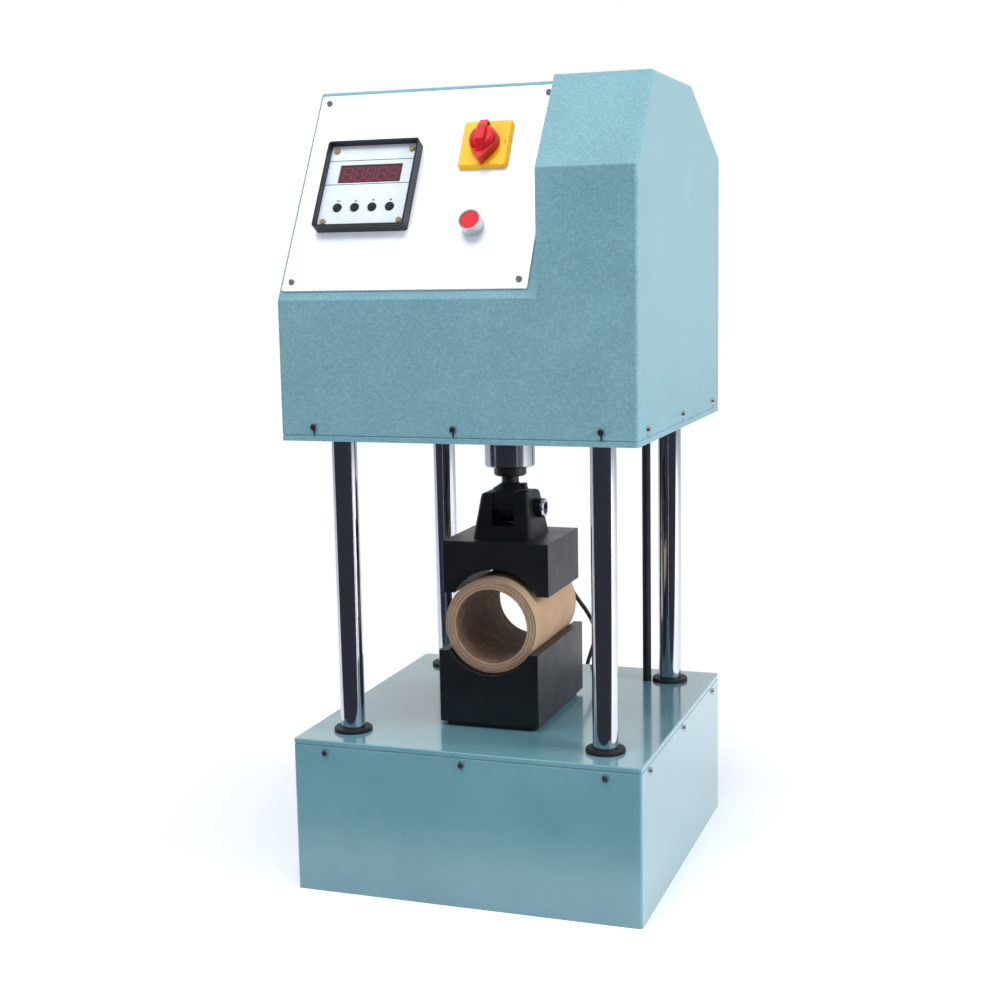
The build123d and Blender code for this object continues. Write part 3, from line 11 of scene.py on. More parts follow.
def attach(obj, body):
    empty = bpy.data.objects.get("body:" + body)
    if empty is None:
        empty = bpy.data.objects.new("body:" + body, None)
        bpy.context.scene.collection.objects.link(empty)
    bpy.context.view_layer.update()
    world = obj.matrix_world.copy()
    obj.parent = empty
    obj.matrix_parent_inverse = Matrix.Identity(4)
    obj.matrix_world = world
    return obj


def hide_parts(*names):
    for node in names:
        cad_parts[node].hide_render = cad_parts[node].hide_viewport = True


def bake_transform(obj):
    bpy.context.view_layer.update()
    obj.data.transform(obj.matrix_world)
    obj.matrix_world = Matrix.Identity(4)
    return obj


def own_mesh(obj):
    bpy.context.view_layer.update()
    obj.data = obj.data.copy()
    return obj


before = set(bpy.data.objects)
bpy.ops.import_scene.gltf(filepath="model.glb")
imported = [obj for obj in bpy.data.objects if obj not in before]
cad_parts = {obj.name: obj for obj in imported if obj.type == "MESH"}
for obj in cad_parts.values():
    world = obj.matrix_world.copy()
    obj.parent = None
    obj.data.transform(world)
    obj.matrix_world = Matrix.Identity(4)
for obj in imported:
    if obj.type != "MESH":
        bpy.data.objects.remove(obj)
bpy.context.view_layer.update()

log = logging.getLogger("core_tester")

MM = 0.001  # the scene is in metres, the sizes below are in millimetres

Point = tuple[float, float, float]
Grid = np.ndarray


# Helpers


def linear(code: str) -> tuple[float, float, float, float]:
    """Turns an sRGB hex colour into linear RGBA.

    Args:
        code: six hex digits, with or without a leading hash.

    Returns:
        Four floats, alpha 1.
    """
    digits = code.lstrip("#")
    raw = [int(digits[i : i + 2], 16) / 255 for i in (0, 2, 4)]
    part = [c / 12.92 if c <= 0.04045 else ((c + 0.055) / 1.055) ** 2.4 for c in raw]
    return part[0], part[1], part[2], 1.0


def add(
    tree: bpy.types.NodeTree,
    kind: str,
    links: dict | None = None,
    values: dict | None = None,
    **settings: object,
) -> bpy.types.Node:
    """Adds one node with its settings, values and links.

    Args:
        tree: the node tree.
        kind: the node's type name.
        links: input name or index to the output socket that feeds it.
        values: input name or index to its own value.
        **settings: attributes of the node itself.

    Returns:
        The new node.
    """
    made = tree.nodes.new(kind)
    for key, value in settings.items():
        setattr(made, key, value)
    for key, value in (values or {}).items():
        made.inputs[key].default_value = value
    for key, source in (links or {}).items():
        tree.links.new(source, made.inputs[key])
    return made


@dataclass
class Patch:
    """Vertices and faces as arrays, in millimetres, before they become a mesh."""

    points: np.ndarray
    faces: list[np.ndarray]

    @staticmethod
    def of_grid(grid: Grid, wrap_rows: bool = False, wrap_columns: bool = False) -> "Patch":
        """Joins a grid of points with quads, row to row and column to column.

        Args:
            grid: points, shape (rows, columns, 3).
            wrap_rows: the last row joins the first.
            wrap_columns: the last column joins the first.

        Returns:
            The patch, its quads in the order (r, c), (r, c+1), (r+1, c+1), (r+1, c).
        """
        rows, columns = grid.shape[:2]
        r = np.arange(rows if wrap_rows else rows - 1)[:, None]
        c = np.arange(columns if wrap_columns else columns - 1)[None, :]
        below, beside = (r + 1) % rows, (c + 1) % columns
        corners = (r * columns + c, r * columns + beside, below * columns + beside, below * columns + c)
        quads = np.stack([np.broadcast_to(k, (len(r), c.shape[1])) for k in corners], -1)
        return Patch(grid.reshape(-1, 3), [quads.reshape(-1, 4)])

    @staticmethod
    def of_plate(outline: np.ndarray, foot: float, top: float, ease: float) -> "Patch":
        """A flat plate with an eased upper edge: the outline is carried up, then drawn in by the ease.

        Args:
            outline: points of a convex outline, shape (n, 2), anticlockwise.
            foot: height of its underside.
            top: height of its top.
            ease: how far the top edge is drawn in and down.

        Returns:
            The closed patch.
        """
        middle = outline.mean(0)
        drawn = middle + (outline - middle) * (1 - ease / np.abs(outline - middle).max())
        rings = [(outline, foot), (outline, top - ease), (drawn, top)]
        grid = np.stack([np.column_stack([ring, np.full(len(ring), z)]) for ring, z in rings])
        side = Patch.of_grid(grid, wrap_columns=True)
        count = len(outline)
        lid = np.arange(2 * count, 3 * count)[None, :]
        floor = np.arange(count)[::-1][None, :]
        return Patch(side.points, side.faces + [lid, floor])

    def joined(self, other: "Patch") -> "Patch":
        """Both patches as one, the other's faces renumbered after this one's points."""
        moved = [f + len(self.points) for f in other.faces]
        return Patch(np.concatenate([self.points, other.points]), self.faces + moved)

    def piece(self, name: str, finish: "Finish", smooth: float = 40.0) -> bpy.types.Object:
        """Makes the mesh object at the origin, in metres, with its faces turned outwards.

        Args:
            name: the object's name.
            finish: the finish that it takes.
            smooth: edges flatter than this many degrees are shaded smooth.

        Returns:
            The new object.
        """
        mesh = bpy.data.meshes.new(name)
        faces = [row for block in self.faces for row in block.tolist()]
        mesh.from_pydata((self.points * MM).tolist(), [], faces)
        mesh.validate()
        made = bpy.data.objects.new(name, mesh)
        bpy.context.scene.collection.objects.link(made)
        mesh.shade_smooth()
        mesh.set_sharp_from_angle(angle=radians(smooth))
        mesh.materials.append(finish.material())
        log.info("%s: %d faces in %s", name, len(mesh.polygons), finish.name)
        return made


def lathe(profile: np.ndarray, sides: int) -> Grid:
    """Turns a profile about the Z axis: x = r cos t, y = r sin t, z = h, t once round.

    Args:
        profile: points (radius, height), shape (n, 2).
        sides: columns round the axis.

    Returns:
        A grid of shape (n, sides, 3).
    """
    turn = np.linspace(0, 2 * pi, sides, endpoint=False)
    radius, height = profile[:, :1], profile[:, 1:]
    return np.stack(
        [radius * np.cos(turn), radius * np.sin(turn), np.broadcast_to(height, (len(profile), sides))], -1
    )


def round_outline(width: float, height: float, corner: float, steps: int = 6) -> np.ndarray:
    """A rectangle with round corners: each corner's centre plus the corner radius at even angles.

    Args:
        width: full width.
        height: full height.
        corner: corner radius.
        steps: points on each corner.

    Returns:
        Points, shape (4 * steps, 2), anticlockwise.
    """
    centre = np.array([[1, 1], [-1, 1], [-1, -1], [1, -1]]) * (np.array([width, height]) / 2 - corner)
    turn = (np.linspace(0, pi / 2, steps)[None, :] + np.arange(4)[:, None] * pi / 2)
    arc = np.stack([np.cos(turn), np.sin(turn)], -1) * corner
    return (centre[:, None, :] + arc).reshape(-1, 2)


# Finishes


class Grain(Enum):
    """How the fine relief of a surface is laid."""

    PEBBLE = "round dimples of a hammer enamel"
    SPRAY = "fine orange peel of a sprayed or moulded skin"
    CAST = "uneven sand-cast or leathery skin"
    BRUSHED = "straight marks across the piece's height"
    TURNED = "rings round an upright axis"
    FIBRE = "short fibres laid round the core"


@dataclass(frozen=True)
class Finish:
    """One surface finish, with real sizes in millimetres.

    Args:
        name: the material's name.
        slot: the record's material slot that it belongs to; not used.
        colour: sRGB hex of the main tone.
        tone: sRGB hex of the tone that it wanders to.
        roughness: mean roughness.
        swing: how far the roughness wanders each way.
        metallic: 1 for bare metal.
        ior: index of a coat or plastic, left at the default for metals.
        coat: weight of a clear gloss over it.
        grain: lay of the fine relief.
        grain_mm: size of one grain.
        relief_mm: height of one grain.
        patch_mm: size of the patches of tone.
        depth: how much the grain itself shows in the tone, from 0 to 1.
    """

    name: str
    slot: str
    colour: str
    tone: str
    roughness: float
    swing: float = 0.05
    metallic: float = 0.0
    ior: float = 1.5
    coat: float = 0.0
    grain: Grain = Grain.SPRAY
    grain_mm: float = 0.8
    relief_mm: float = 0.015
    patch_mm: float = 35.0
    depth: float = 0.3

    def relief(self, tree: bpy.types.NodeTree, place: bpy.types.NodeSocket) -> bpy.types.NodeSocket:
        """Lays the fine relief.

        Args:
            tree: the material's nodes.
            place: Object coordinates, in metres.

        Returns:
            A height from 0 to 1.
        """
        scale = 1 / (self.grain_mm * MM)
        if self.grain is Grain.PEBBLE:
            cells = add(
                tree, "ShaderNodeTexVoronoi", {"Vector": place},
                {"Scale": scale, "Smoothness": 0.6}, feature="SMOOTH_F1",
            )
            return cells.outputs["Distance"]
        if self.grain is Grain.TURNED:
            rings = add(
                tree, "ShaderNodeTexWave", {"Vector": place},
                {"Scale": scale / 2, "Distortion": 1.5, "Detail": 3.0, "Detail Scale": 2.0},
                wave_type="BANDS", bands_direction="Z",
            )
            return rings.outputs["Fac"]
        stretch = {
            Grain.BRUSHED: (1 / 30, 1 / 30, 1.0),
            Grain.FIBRE: (1 / 7, 1 / 2, 1 / 7),
        }.get(self.grain, (1.0, 1.0, 1.0))
        moved = add(tree, "ShaderNodeMapping", {"Vector": place}, {"Scale": stretch})
        detail = 8.0 if self.grain in (Grain.CAST, Grain.FIBRE) else 3.0
        noise = add(
            tree, "ShaderNodeTexNoise", {"Vector": moved.outputs["Vector"]},
            {"Scale": scale, "Detail": detail, "Roughness": 0.6},
        )
        return noise.outputs["Fac"]

    def share(
        self, tree: bpy.types.NodeTree, place: bpy.types.NodeSocket, height: bpy.types.NodeSocket
    ) -> bpy.types.NodeSocket:
        """How far the tone has wandered at a point: wide patches mixed with the grain.

        Args:
            tree: the material's nodes.
            place: Object coordinates.
            height: the fine relief.

        Returns:
            A share from 0 to 1.
        """
        patches = add(
            tree, "ShaderNodeTexNoise", {"Vector": place},
            {"Scale": 1 / (self.patch_mm * MM), "Detail": 4.0, "Roughness": 0.55},
        )
        both = add(
            tree, "ShaderNodeMix", {2: patches.outputs["Fac"], 3: height}, {0: self.depth}, data_type="FLOAT"
        )
        spread = add(
            tree, "ShaderNodeMapRange", {"Value": both.outputs[0]}, {"From Min": 0.3, "From Max": 0.7}
        )
        return spread.outputs["Result"]

    def material(self) -> bpy.types.Material:
        """Makes the finish's material once, and hands out the same one after that.

        Returns:
            The material.
        """
        found = bpy.data.materials.get(self.name)
        if found:
            return found
        made = bpy.data.materials.new(self.name)
        made.use_nodes = True
        made.diffuse_color = linear(self.colour)
        tree = made.node_tree
        tree.nodes.clear()
        place = add(tree, "ShaderNodeTexCoord").outputs["Object"]
        height = self.relief(tree, place)
        share = self.share(tree, place, height)
        tint = add(
            tree, "ShaderNodeMix", {0: share}, {6: linear(self.colour), 7: linear(self.tone)},
            data_type="RGBA",
        )
        gloss = add(
            tree, "ShaderNodeMapRange", {"Value": share},
            {"To Min": self.roughness - self.swing, "To Max": self.roughness + self.swing},
        )
        bump = add(
            tree, "ShaderNodeBump", {"Height": height}, {"Strength": 1.0, "Distance": self.relief_mm * MM}
        )
        skin = add(
            tree, "ShaderNodeBsdfPrincipled",
            {
                "Base Color": tint.outputs[2],
                "Roughness": gloss.outputs["Result"],
                "Normal": bump.outputs["Normal"],
            },
            {"Metallic": self.metallic, "IOR": self.ior, "Coat Weight": self.coat, "Coat Roughness": 0.08},
        )
        self.extra(tree, place, skin, tint)
        add(tree, "ShaderNodeOutputMaterial", {"Surface": skin.outputs["BSDF"]})
        return made

    def extra(
        self,
        tree: bpy.types.NodeTree,
        place: bpy.types.NodeSocket,
        skin: bpy.types.Node,
        tint: bpy.types.Node,
    ) -> None:
        """Nothing more on a plain finish."""


@dataclass(frozen=True)
class WoundBoard(Finish):
    """Wound kraft board: the glue between its plies shows as darker rings about the core's axis.

    Args:
        axis: a point on the core's axis, in millimetres.
        ply_mm: thickness of one ply.
    """

    axis: Point = (0.0, -17.5, 262.3)
    ply_mm: float = 1.6

    def extra(
        self,
        tree: bpy.types.NodeTree,
        place: bpy.types.NodeSocket,
        skin: bpy.types.Node,
        tint: bpy.types.Node,
    ) -> None:
        """Adds darker glue lines between the plies: rings about the core's own axis.

        Args:
            tree: the material's nodes.
            place: Object coordinates.
            skin: the shader.
            tint: the mix that gives the base colour.
        """
        centred = add(
            tree, "ShaderNodeMapping", {"Vector": place},
            {"Location": tuple(-c * MM for c in self.axis)},
        )
        rings = add(
            tree, "ShaderNodeTexWave", {"Vector": centred.outputs["Vector"]},
            {
                "Scale": 0.5 / (self.ply_mm * MM * pi), "Distortion": 2.2,
                "Detail": 2.0, "Detail Scale": 0.6,
            },
            wave_type="RINGS", rings_direction="Y",
        )
        narrow = add(
            tree, "ShaderNodeMapRange", {"Value": rings.outputs["Fac"]},
            {"From Min": 0.0, "From Max": 0.35, "To Min": 0.55, "To Max": 0.0},
        )
        glue = add(
            tree, "ShaderNodeMix", {0: narrow.outputs["Result"], 6: tint.outputs[2]},
            {7: linear("#4A3226")}, data_type="RGBA",
        )
        tree.links.new(glue.outputs[2], skin.inputs["Base Color"])


# Hammer-finish enamel, sprayed: metallic paint pulls into round dimples, so the light breaks up on it.
HAMMER_ENAMEL = Finish(
    "hammer enamel on folded sheet", "teal_enamel", "#5C828C", "#6C939C", 0.34, 0.05,
    grain=Grain.PEBBLE, grain_mm=2.2, relief_mm=0.10, patch_mm=60, depth=0.55,
)
# Stoved enamel, smooth: a wet-looking skin that mirrors the bars softly.
STOVED_ENAMEL = Finish(
    "stoved enamel on folded sheet", "teal_enamel", "#557C86", "#5E8790", 0.16, 0.04,
    coat=0.5, grain=Grain.SPRAY, grain_mm=3.5, relief_mm=0.008, patch_mm=80, depth=0.2,
)
# Hard chrome on a ground bar: a dark mirror with faint grinding marks round it.
HARD_CHROME = Finish(
    "hard chrome on ground bar", "chrome_bar", "#BFC0C8", "#CDCED4", 0.07, 0.03,
    metallic=1.0, grain=Grain.TURNED, grain_mm=0.9, relief_mm=0.0015, patch_mm=50,
)
# The ram is chromed over a turned bar, so its mirror is a little streaked.
RAM_CHROME = Finish(
    "hard chrome on turned ram", "chrome_bar", "#B4B5BA", "#C6C7CB", 0.16, 0.05,
    metallic=1.0, grain=Grain.TURNED, grain_mm=0.7, relief_mm=0.003, patch_mm=30,
)
# Milled and ground steel: pale grey with a directional sheen.
GROUND_STEEL = Finish(
    "ground steel", "machined_steel", "#B9BABC", "#A7A9AC", 0.3, 0.08,
    metallic=1.0, grain=Grain.BRUSHED, grain_mm=0.8, relief_mm=0.006, patch_mm=40,
)
# Black oxide on milled steel: almost black, oily satin that greys where it faces the light.
BLACK_OXIDE = Finish(
    "black oxide on milled steel", "blackened_steel", "#0D0E11", "#15171C", 0.42, 0.07,
    ior=1.6, grain=Grain.BRUSHED, grain_mm=0.9, relief_mm=0.01, patch_mm=28, depth=0.35,
)
# The clevis is blacked as well, and its skin is a little coarser than the jaws'.
BLACK_CASTING = Finish(
    "blacked casting", "blackened_steel", "#090A0C", "#121316", 0.5, 0.08,
    ior=1.6, grain=Grain.CAST, grain_mm=2.4, relief_mm=0.05, patch_mm=22, depth=0.4,
)
# Zinc-plated sheet: bright grey with soft clouds.
ZINC_SHEET = Finish(
    "zinc-plated sheet", "zinc_sheet", "#B4B8BC", "#9EA3A8", 0.34, 0.1,
    metallic=1.0, grain=Grain.SPRAY, grain_mm=5.0, relief_mm=0.01, patch_mm=18, depth=0.4,
)
# Bright zinc screws: small hard highlights on a clear grey.
BRIGHT_ZINC = Finish(
    "bright zinc screw", "screw_steel", "#C2C4C6", "#A3A5A8", 0.24, 0.08,
    metallic=1.0, grain=Grain.TURNED, grain_mm=0.4, relief_mm=0.004, patch_mm=4,
)
# Moulded rubber: dull and slightly grey at grazing angles.
MOULDED_RUBBER = Finish(
    "moulded black rubber", "black_rubber", "#141517", "#1D1E21", 0.62, 0.08,
    grain=Grain.SPRAY, grain_mm=0.6, relief_mm=0.02, patch_mm=12,
)
# Injection-moulded ABS: fine spark-eroded texture, soft edges of light.
MOULDED_BLACK = Finish(
    "moulded black plastic", "black_plastic", "#14151A", "#1E2026", 0.45, 0.06,
    grain=Grain.SPRAY, grain_mm=0.5, relief_mm=0.02, patch_mm=20,
)
# PVC cable jacket: satin black.
CABLE_JACKET = Finish(
    "cable jacket", "black_cable", "#121315", "#1B1C1F", 0.4, 0.06,
    grain=Grain.SPRAY, grain_mm=0.7, relief_mm=0.015, patch_mm=15,
)
# Satin white enamel on the aluminium front panel: cool white, faint orange peel.
PANEL_WHITE = Finish(
    "satin white panel enamel", "panel_white", "#E6E9EE", "#DEE2E8", 0.38, 0.05,
    grain=Grain.SPRAY, grain_mm=2.0, relief_mm=0.006, patch_mm=70, depth=0.15,
)
# Satin-anodised aluminium label: pale silver, very fine drawn lines.
FACE_SILVER = Finish(
    "satin silver face", "face_silver", "#D2DAE0", "#C5CED6", 0.42, 0.06,
    metallic=0.25, grain=Grain.BRUSHED, grain_mm=0.5, relief_mm=0.004, patch_mm=30, depth=0.25,
)
# Dark red acrylic window: unlit, with a polished skin.
RED_WINDOW = Finish(
    "dark red acrylic window", "display_red", "#3A0F1C", "#451422", 0.12, 0.03,
    coat=0.3, grain=Grain.SPRAY, grain_mm=6.0, relief_mm=0.003, patch_mm=25, depth=0.1,
)
# Unlit segments seen through the red window: a little lighter than it.
DIM_SEGMENT = Finish(
    "unlit display segment", "display_red", "#6A2236", "#5C1B2D", 0.2, 0.03,
    coat=0.3, grain=Grain.SPRAY, grain_mm=1.0, relief_mm=0.002, patch_mm=6,
)
# Silicone key tops: dull black.
KEY_BLACK = Finish(
    "black key top", "key_plastic", "#121317", "#1C1D22", 0.5, 0.06,
    grain=Grain.SPRAY, grain_mm=0.5, relief_mm=0.02, patch_mm=6,
)
# Screen-printed ink: flat black with slightly ragged gloss.
PRINTED_INK = Finish(
    "screen-printed ink", "black_plastic", "#23262B", "#30343A", 0.5, 0.06,
    grain=Grain.SPRAY, grain_mm=0.4, relief_mm=0.004, patch_mm=8,
)
# Moulded yellow polycarbonate: warm, glossy, light lost in its depth.
SWITCH_YELLOW = Finish(
    "moulded yellow plastic", "switch_yellow", "#EFB512", "#E6A60C", 0.28, 0.05,
    coat=0.2, grain=Grain.SPRAY, grain_mm=0.8, relief_mm=0.01, patch_mm=22,
)
# Moulded red handle: glossy, strong highlights on its ridges.
HANDLE_RED = Finish(
    "moulded red plastic", "knob_red", "#C8101A", "#B50C16", 0.26, 0.05,
    coat=0.3, grain=Grain.SPRAY, grain_mm=0.8, relief_mm=0.012, patch_mm=14,
)
# Satin-chromed button ring: pale grey and soft.
SATIN_CHROME = Finish(
    "satin chrome ring", "button_chrome", "#D6D8DC", "#C6C9CE", 0.3, 0.06,
    metallic=0.85, grain=Grain.TURNED, grain_mm=0.4, relief_mm=0.003, patch_mm=8,
)
# Machined bronze: warm brown-gold with turning marks.
BEARING_BRONZE = Finish(
    "machined bronze", "bronze", "#B08D57", "#9A7846", 0.3, 0.08,
    metallic=1.0, grain=Grain.TURNED, grain_mm=0.6, relief_mm=0.005, patch_mm=16,
)
# Brass screws: pale gold heads, gone a little brown.
BRASS = Finish(
    "polished brass screw", "brass_screw", "#C9B27A", "#A58B52", 0.28, 0.08,
    metallic=1.0, grain=Grain.TURNED, grain_mm=0.4, relief_mm=0.004, patch_mm=3,
)
# Nickel-plated panel screws: grey, a little dull.
NICKEL = Finish(
    "nickel-plated screw", "brass_screw", "#8E9096", "#6E7076", 0.3, 0.08,
    metallic=1.0, grain=Grain.TURNED, grain_mm=0.4, relief_mm=0.004, patch_mm=3,
)
# Cast and painted motor shell: dark grey, pebbly.
MOTOR_GREY = Finish(
    "painted motor shell", "motor_grey", "#3A3D40", "#46494D", 0.5, 0.07,
    grain=Grain.CAST, grain_mm=3.0, relief_mm=0.06, patch_mm=25,
)
# Solder-masked board: deep green gloss over a fine weave.
BOARD_GREEN = Finish(
    "solder-masked board", "board_green", "#1D5A36", "#174A2C", 0.3, 0.06,
    coat=0.2, grain=Grain.SPRAY, grain_mm=1.0, relief_mm=0.01, patch_mm=12,
)
# Wound kraft board: dry, fibrous brown paper that scatters light.
KRAFT_BOARD = WoundBoard(
    "wound kraft board", "kraft_board", "#8F765F", "#A38970", 0.86, 0.06,
    grain=Grain.FIBRE, grain_mm=1.1, relief_mm=0.05, patch_mm=26, depth=0.45,
)

NODE_FINISH = {
    "base_box": STOVED_ENAMEL, "bottom_cover": ZINC_SHEET, "base_plate": GROUND_STEEL,
    "base_lid": STOVED_ENAMEL, "column_front_left": HARD_CHROME, "column_front_right": HARD_CHROME,
    "column_rear_left": HARD_CHROME, "column_rear_right": HARD_CHROME,
    "column_rings": MOULDED_RUBBER, "column_nuts": GROUND_STEEL, "conduit_tube": MOULDED_BLACK,
    "jaw_pad": MOULDED_RUBBER, "lower_jaw_plate": BLACK_OXIDE, "lower_jaw": BLACK_OXIDE,
    "lower_jaw_bolts": BRIGHT_ZINC, "head_lip_plate": HAMMER_ENAMEL, "crosshead_plate": GROUND_STEEL,
    "head_cover": HAMMER_ENAMEL, "rear_cover": HAMMER_ENAMEL, "head_screws": BRIGHT_ZINC,
    "base_screws": BRIGHT_ZINC, "control_panel": PANEL_WHITE, "panel_screws": NICKEL,
    "meter_bezel": MOULDED_BLACK, "meter_face": FACE_SILVER, "display_window": RED_WINDOW,
    "meter_case": MOULDED_BLACK, "meter_screws": BRASS, "meter_key_1": KEY_BLACK,
    "meter_key_2": KEY_BLACK, "meter_key_3": KEY_BLACK, "meter_key_4": KEY_BLACK,
    "switch_plate": SWITCH_YELLOW, "switch_body": MOULDED_BLACK, "switch_knob": HANDLE_RED,
    "button_bezel": SATIN_CHROME, "button_body": MOULDED_BLACK, "reset_cap": HANDLE_RED,
    "guide_bush": BEARING_BRONZE, "frame_posts": GROUND_STEEL, "bearing_plate": GROUND_STEEL,
    "thrust_bearing": HARD_CHROME, "motor": MOTOR_GREY, "mains_inlet": MOULDED_BLACK,
    "cable_gland": MOULDED_BLACK, "load_cable": CABLE_JACKET, "ram": RAM_CHROME,
    "ram_nut": BEARING_BRONZE, "lock_collar": BLACK_OXIDE, "load_cell": BLACK_OXIDE,
    "lock_screw": BLACK_OXIDE, "clevis": BLACK_CASTING, "upper_jaw": BLACK_OXIDE,
    "clevis_pin": HARD_CHROME, "drive_screw": GROUND_STEEL, "screw_gear": GROUND_STEEL,
    "motor_pinion": GROUND_STEEL, "paper_core": KRAFT_BOARD, "power_supply": ZINC_SHEET,
    "drive_board": BOARD_GREEN,
}


def dress_nodes() -> None:
    """Gives every carried-over node its finish."""
    for name, finish in NODE_FINISH.items():
        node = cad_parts[name]
        node.data.materials.clear()
        node.data.materials.append(finish.material())
        log.info("%s: %s", name, finish.name)


# Camera and studio


@dataclass
class Studio:
    """Camera, lamps, floor and world.

    Args:
        eye: the camera's place, in millimetres.
        turns: the camera's heading, pitch and roll, in degrees.
        focal_px: focal length in pixels.
        picture_px: width of the picture in pixels.
        floor_half: half of the bench top's side, in metres.
    """

    eye: Point = (529.36, -1572.87, 629.39)
    turns: Point = (19.21, -8.54, 1.04)
    focal_px: float = 1590.08
    picture_px: float = 999.0
    floor_half: float = 6.0

    def camera(self) -> bpy.types.Object:
        """Sets up the camera at the photograph's place.

        The heading turns about Z, the pitch about the camera's X and the roll about its line of sight.

        Returns:
            The camera object.
        """
        heading, pitch, roll = (radians(a) for a in self.turns)
        turned = (
            Matrix.Rotation(heading, 3, "Z") @ Matrix.Rotation(pitch, 3, "X") @ Matrix.Rotation(roll, 3, "Y")
        )
        across, ahead, up = turned.col[0], turned.col[1], turned.col[2]
        lens = bpy.data.cameras.new("camera")
        lens.sensor_width = 36.0
        lens.lens = lens.sensor_width * self.focal_px / self.picture_px
        lens.clip_end = 50.0
        made = bpy.data.objects.new("camera", lens)
        bpy.context.scene.collection.objects.link(made)
        rows = Matrix((across, up, -ahead)).transposed().to_4x4()
        made.matrix_world = Matrix.Translation(Vector(self.eye) * MM) @ rows
        bpy.context.scene.camera = made
        bpy.context.scene.view_settings.view_transform = "Standard"
        return made

    def lamp(self, name: str, place: Point, target: Point, side: float, watts: float, colour: str) -> None:
        """Adds one square soft lamp.

        Args:
            name: its name.
            place: where it hangs, in metres.
            target: what it is aimed at, in metres.
            side: its side, in metres.
            watts: its power.
            colour: sRGB hex.
        """
        light = bpy.data.lights.new(name, "AREA")
        light.shape = "SQUARE"
        light.size = side
        light.energy = watts
        light.color = linear(colour)[:3]
        made = bpy.data.objects.new(name, light)
        bpy.context.scene.collection.objects.link(made)
        aim = Vector(target) - Vector(place)
        made.matrix_world = Matrix.Translation(place) @ aim.to_track_quat("-Z", "Y").to_matrix().to_4x4()
        made.visible_glossy = False
        made.visible_camera = False

    def lamps(self) -> None:
        """A broad key from the right, a top light and a weak fill from the front left."""
        self.lamp("key", (3.0, -0.5, 1.6), (0.0, 0.0, 0.4), 1.6, 120.0, "#FFFEFC")
        self.lamp("top", (-0.2, -1.0, 3.2), (0.0, 0.0, 0.4), 1.6, 90.0, "#FFFFFF")
        self.lamp("fill", (-2.4, -2.4, 1.4), (0.0, 0.0, 0.4), 1.8, 12.0, "#F4F8FF")

    def world(self) -> None:
        """White behind the object, and a dim room with pale sides for gloss and for the light all round."""
        world = bpy.data.worlds.new("room")
        bpy.context.scene.world = world
        world.use_nodes = True
        tree = world.node_tree
        tree.nodes.clear()
        ray = add(tree, "ShaderNodeTexCoord").outputs["Generated"]
        heading = add(tree, "ShaderNodeTexGradient", {"Vector": ray}, gradient_type="RADIAL")
        room = add(tree, "ShaderNodeValToRGB", {"Fac": heading.outputs["Fac"]})
        tones = [
            (0.0, "#B9C0CC"), (0.03, "#4A4E66"), (0.09, "#23242F"), (0.16, "#2E344A"), (0.22, "#191A22"),
            (0.27, "#35303F"), (0.32, "#15161C"), (0.37, "#43475A"), (0.41, "#E2E5EB"), (0.56, "#F0F1F4"),
            (0.585, "#4A4E56"), (0.63, "#191B20"), (0.66, "#C9CDD3"), (0.7, "#FFFFFF"), (0.95, "#FFFFFF"),
        ]
        ramp = room.color_ramp
        ramp.elements[0].position, ramp.elements[0].color = tones[0][0], linear(tones[0][1])
        ramp.elements[1].position, ramp.elements[1].color = tones[-1][0], linear(tones[-1][1])
        for position, tone in tones[1:-1]:
            ramp.elements.new(position).color = linear(tone)
        height = add(tree, "ShaderNodeSeparateXYZ", {"Vector": ray}).outputs["Z"]
        overhead = add(tree, "ShaderNodeMapRange", {"Value": height}, {"From Min": 0.45, "From Max": 0.75})
        ceiling = add(
            tree, "ShaderNodeMix", {0: overhead.outputs["Result"], 6: room.outputs["Color"]},
            {7: linear("#E8EBEF")}, data_type="RGBA",
        )
        path = add(tree, "ShaderNodeLightPath")
        mirrored = add(
            tree, "ShaderNodeMix", {0: path.outputs["Is Glossy Ray"], 7: ceiling.outputs[2]},
            {6: linear("#BCC2CC")}, data_type="RGBA",
        )
        seen = add(
            tree, "ShaderNodeMath",
            {0: path.outputs["Is Camera Ray"], 1: path.outputs["Is Transmission Ray"]}, operation="MAXIMUM",
        )
        shown = add(
            tree, "ShaderNodeMix", {0: seen.outputs[0], 6: mirrored.outputs[2]}, {7: linear("#FFFFFF")},
            data_type="RGBA",
        )
        back = add(tree, "ShaderNodeBackground", {"Color": shown.outputs[2]}, {"Strength": 1.0})
        add(tree, "ShaderNodeOutputWorld", {"Surface": back.outputs[0]})

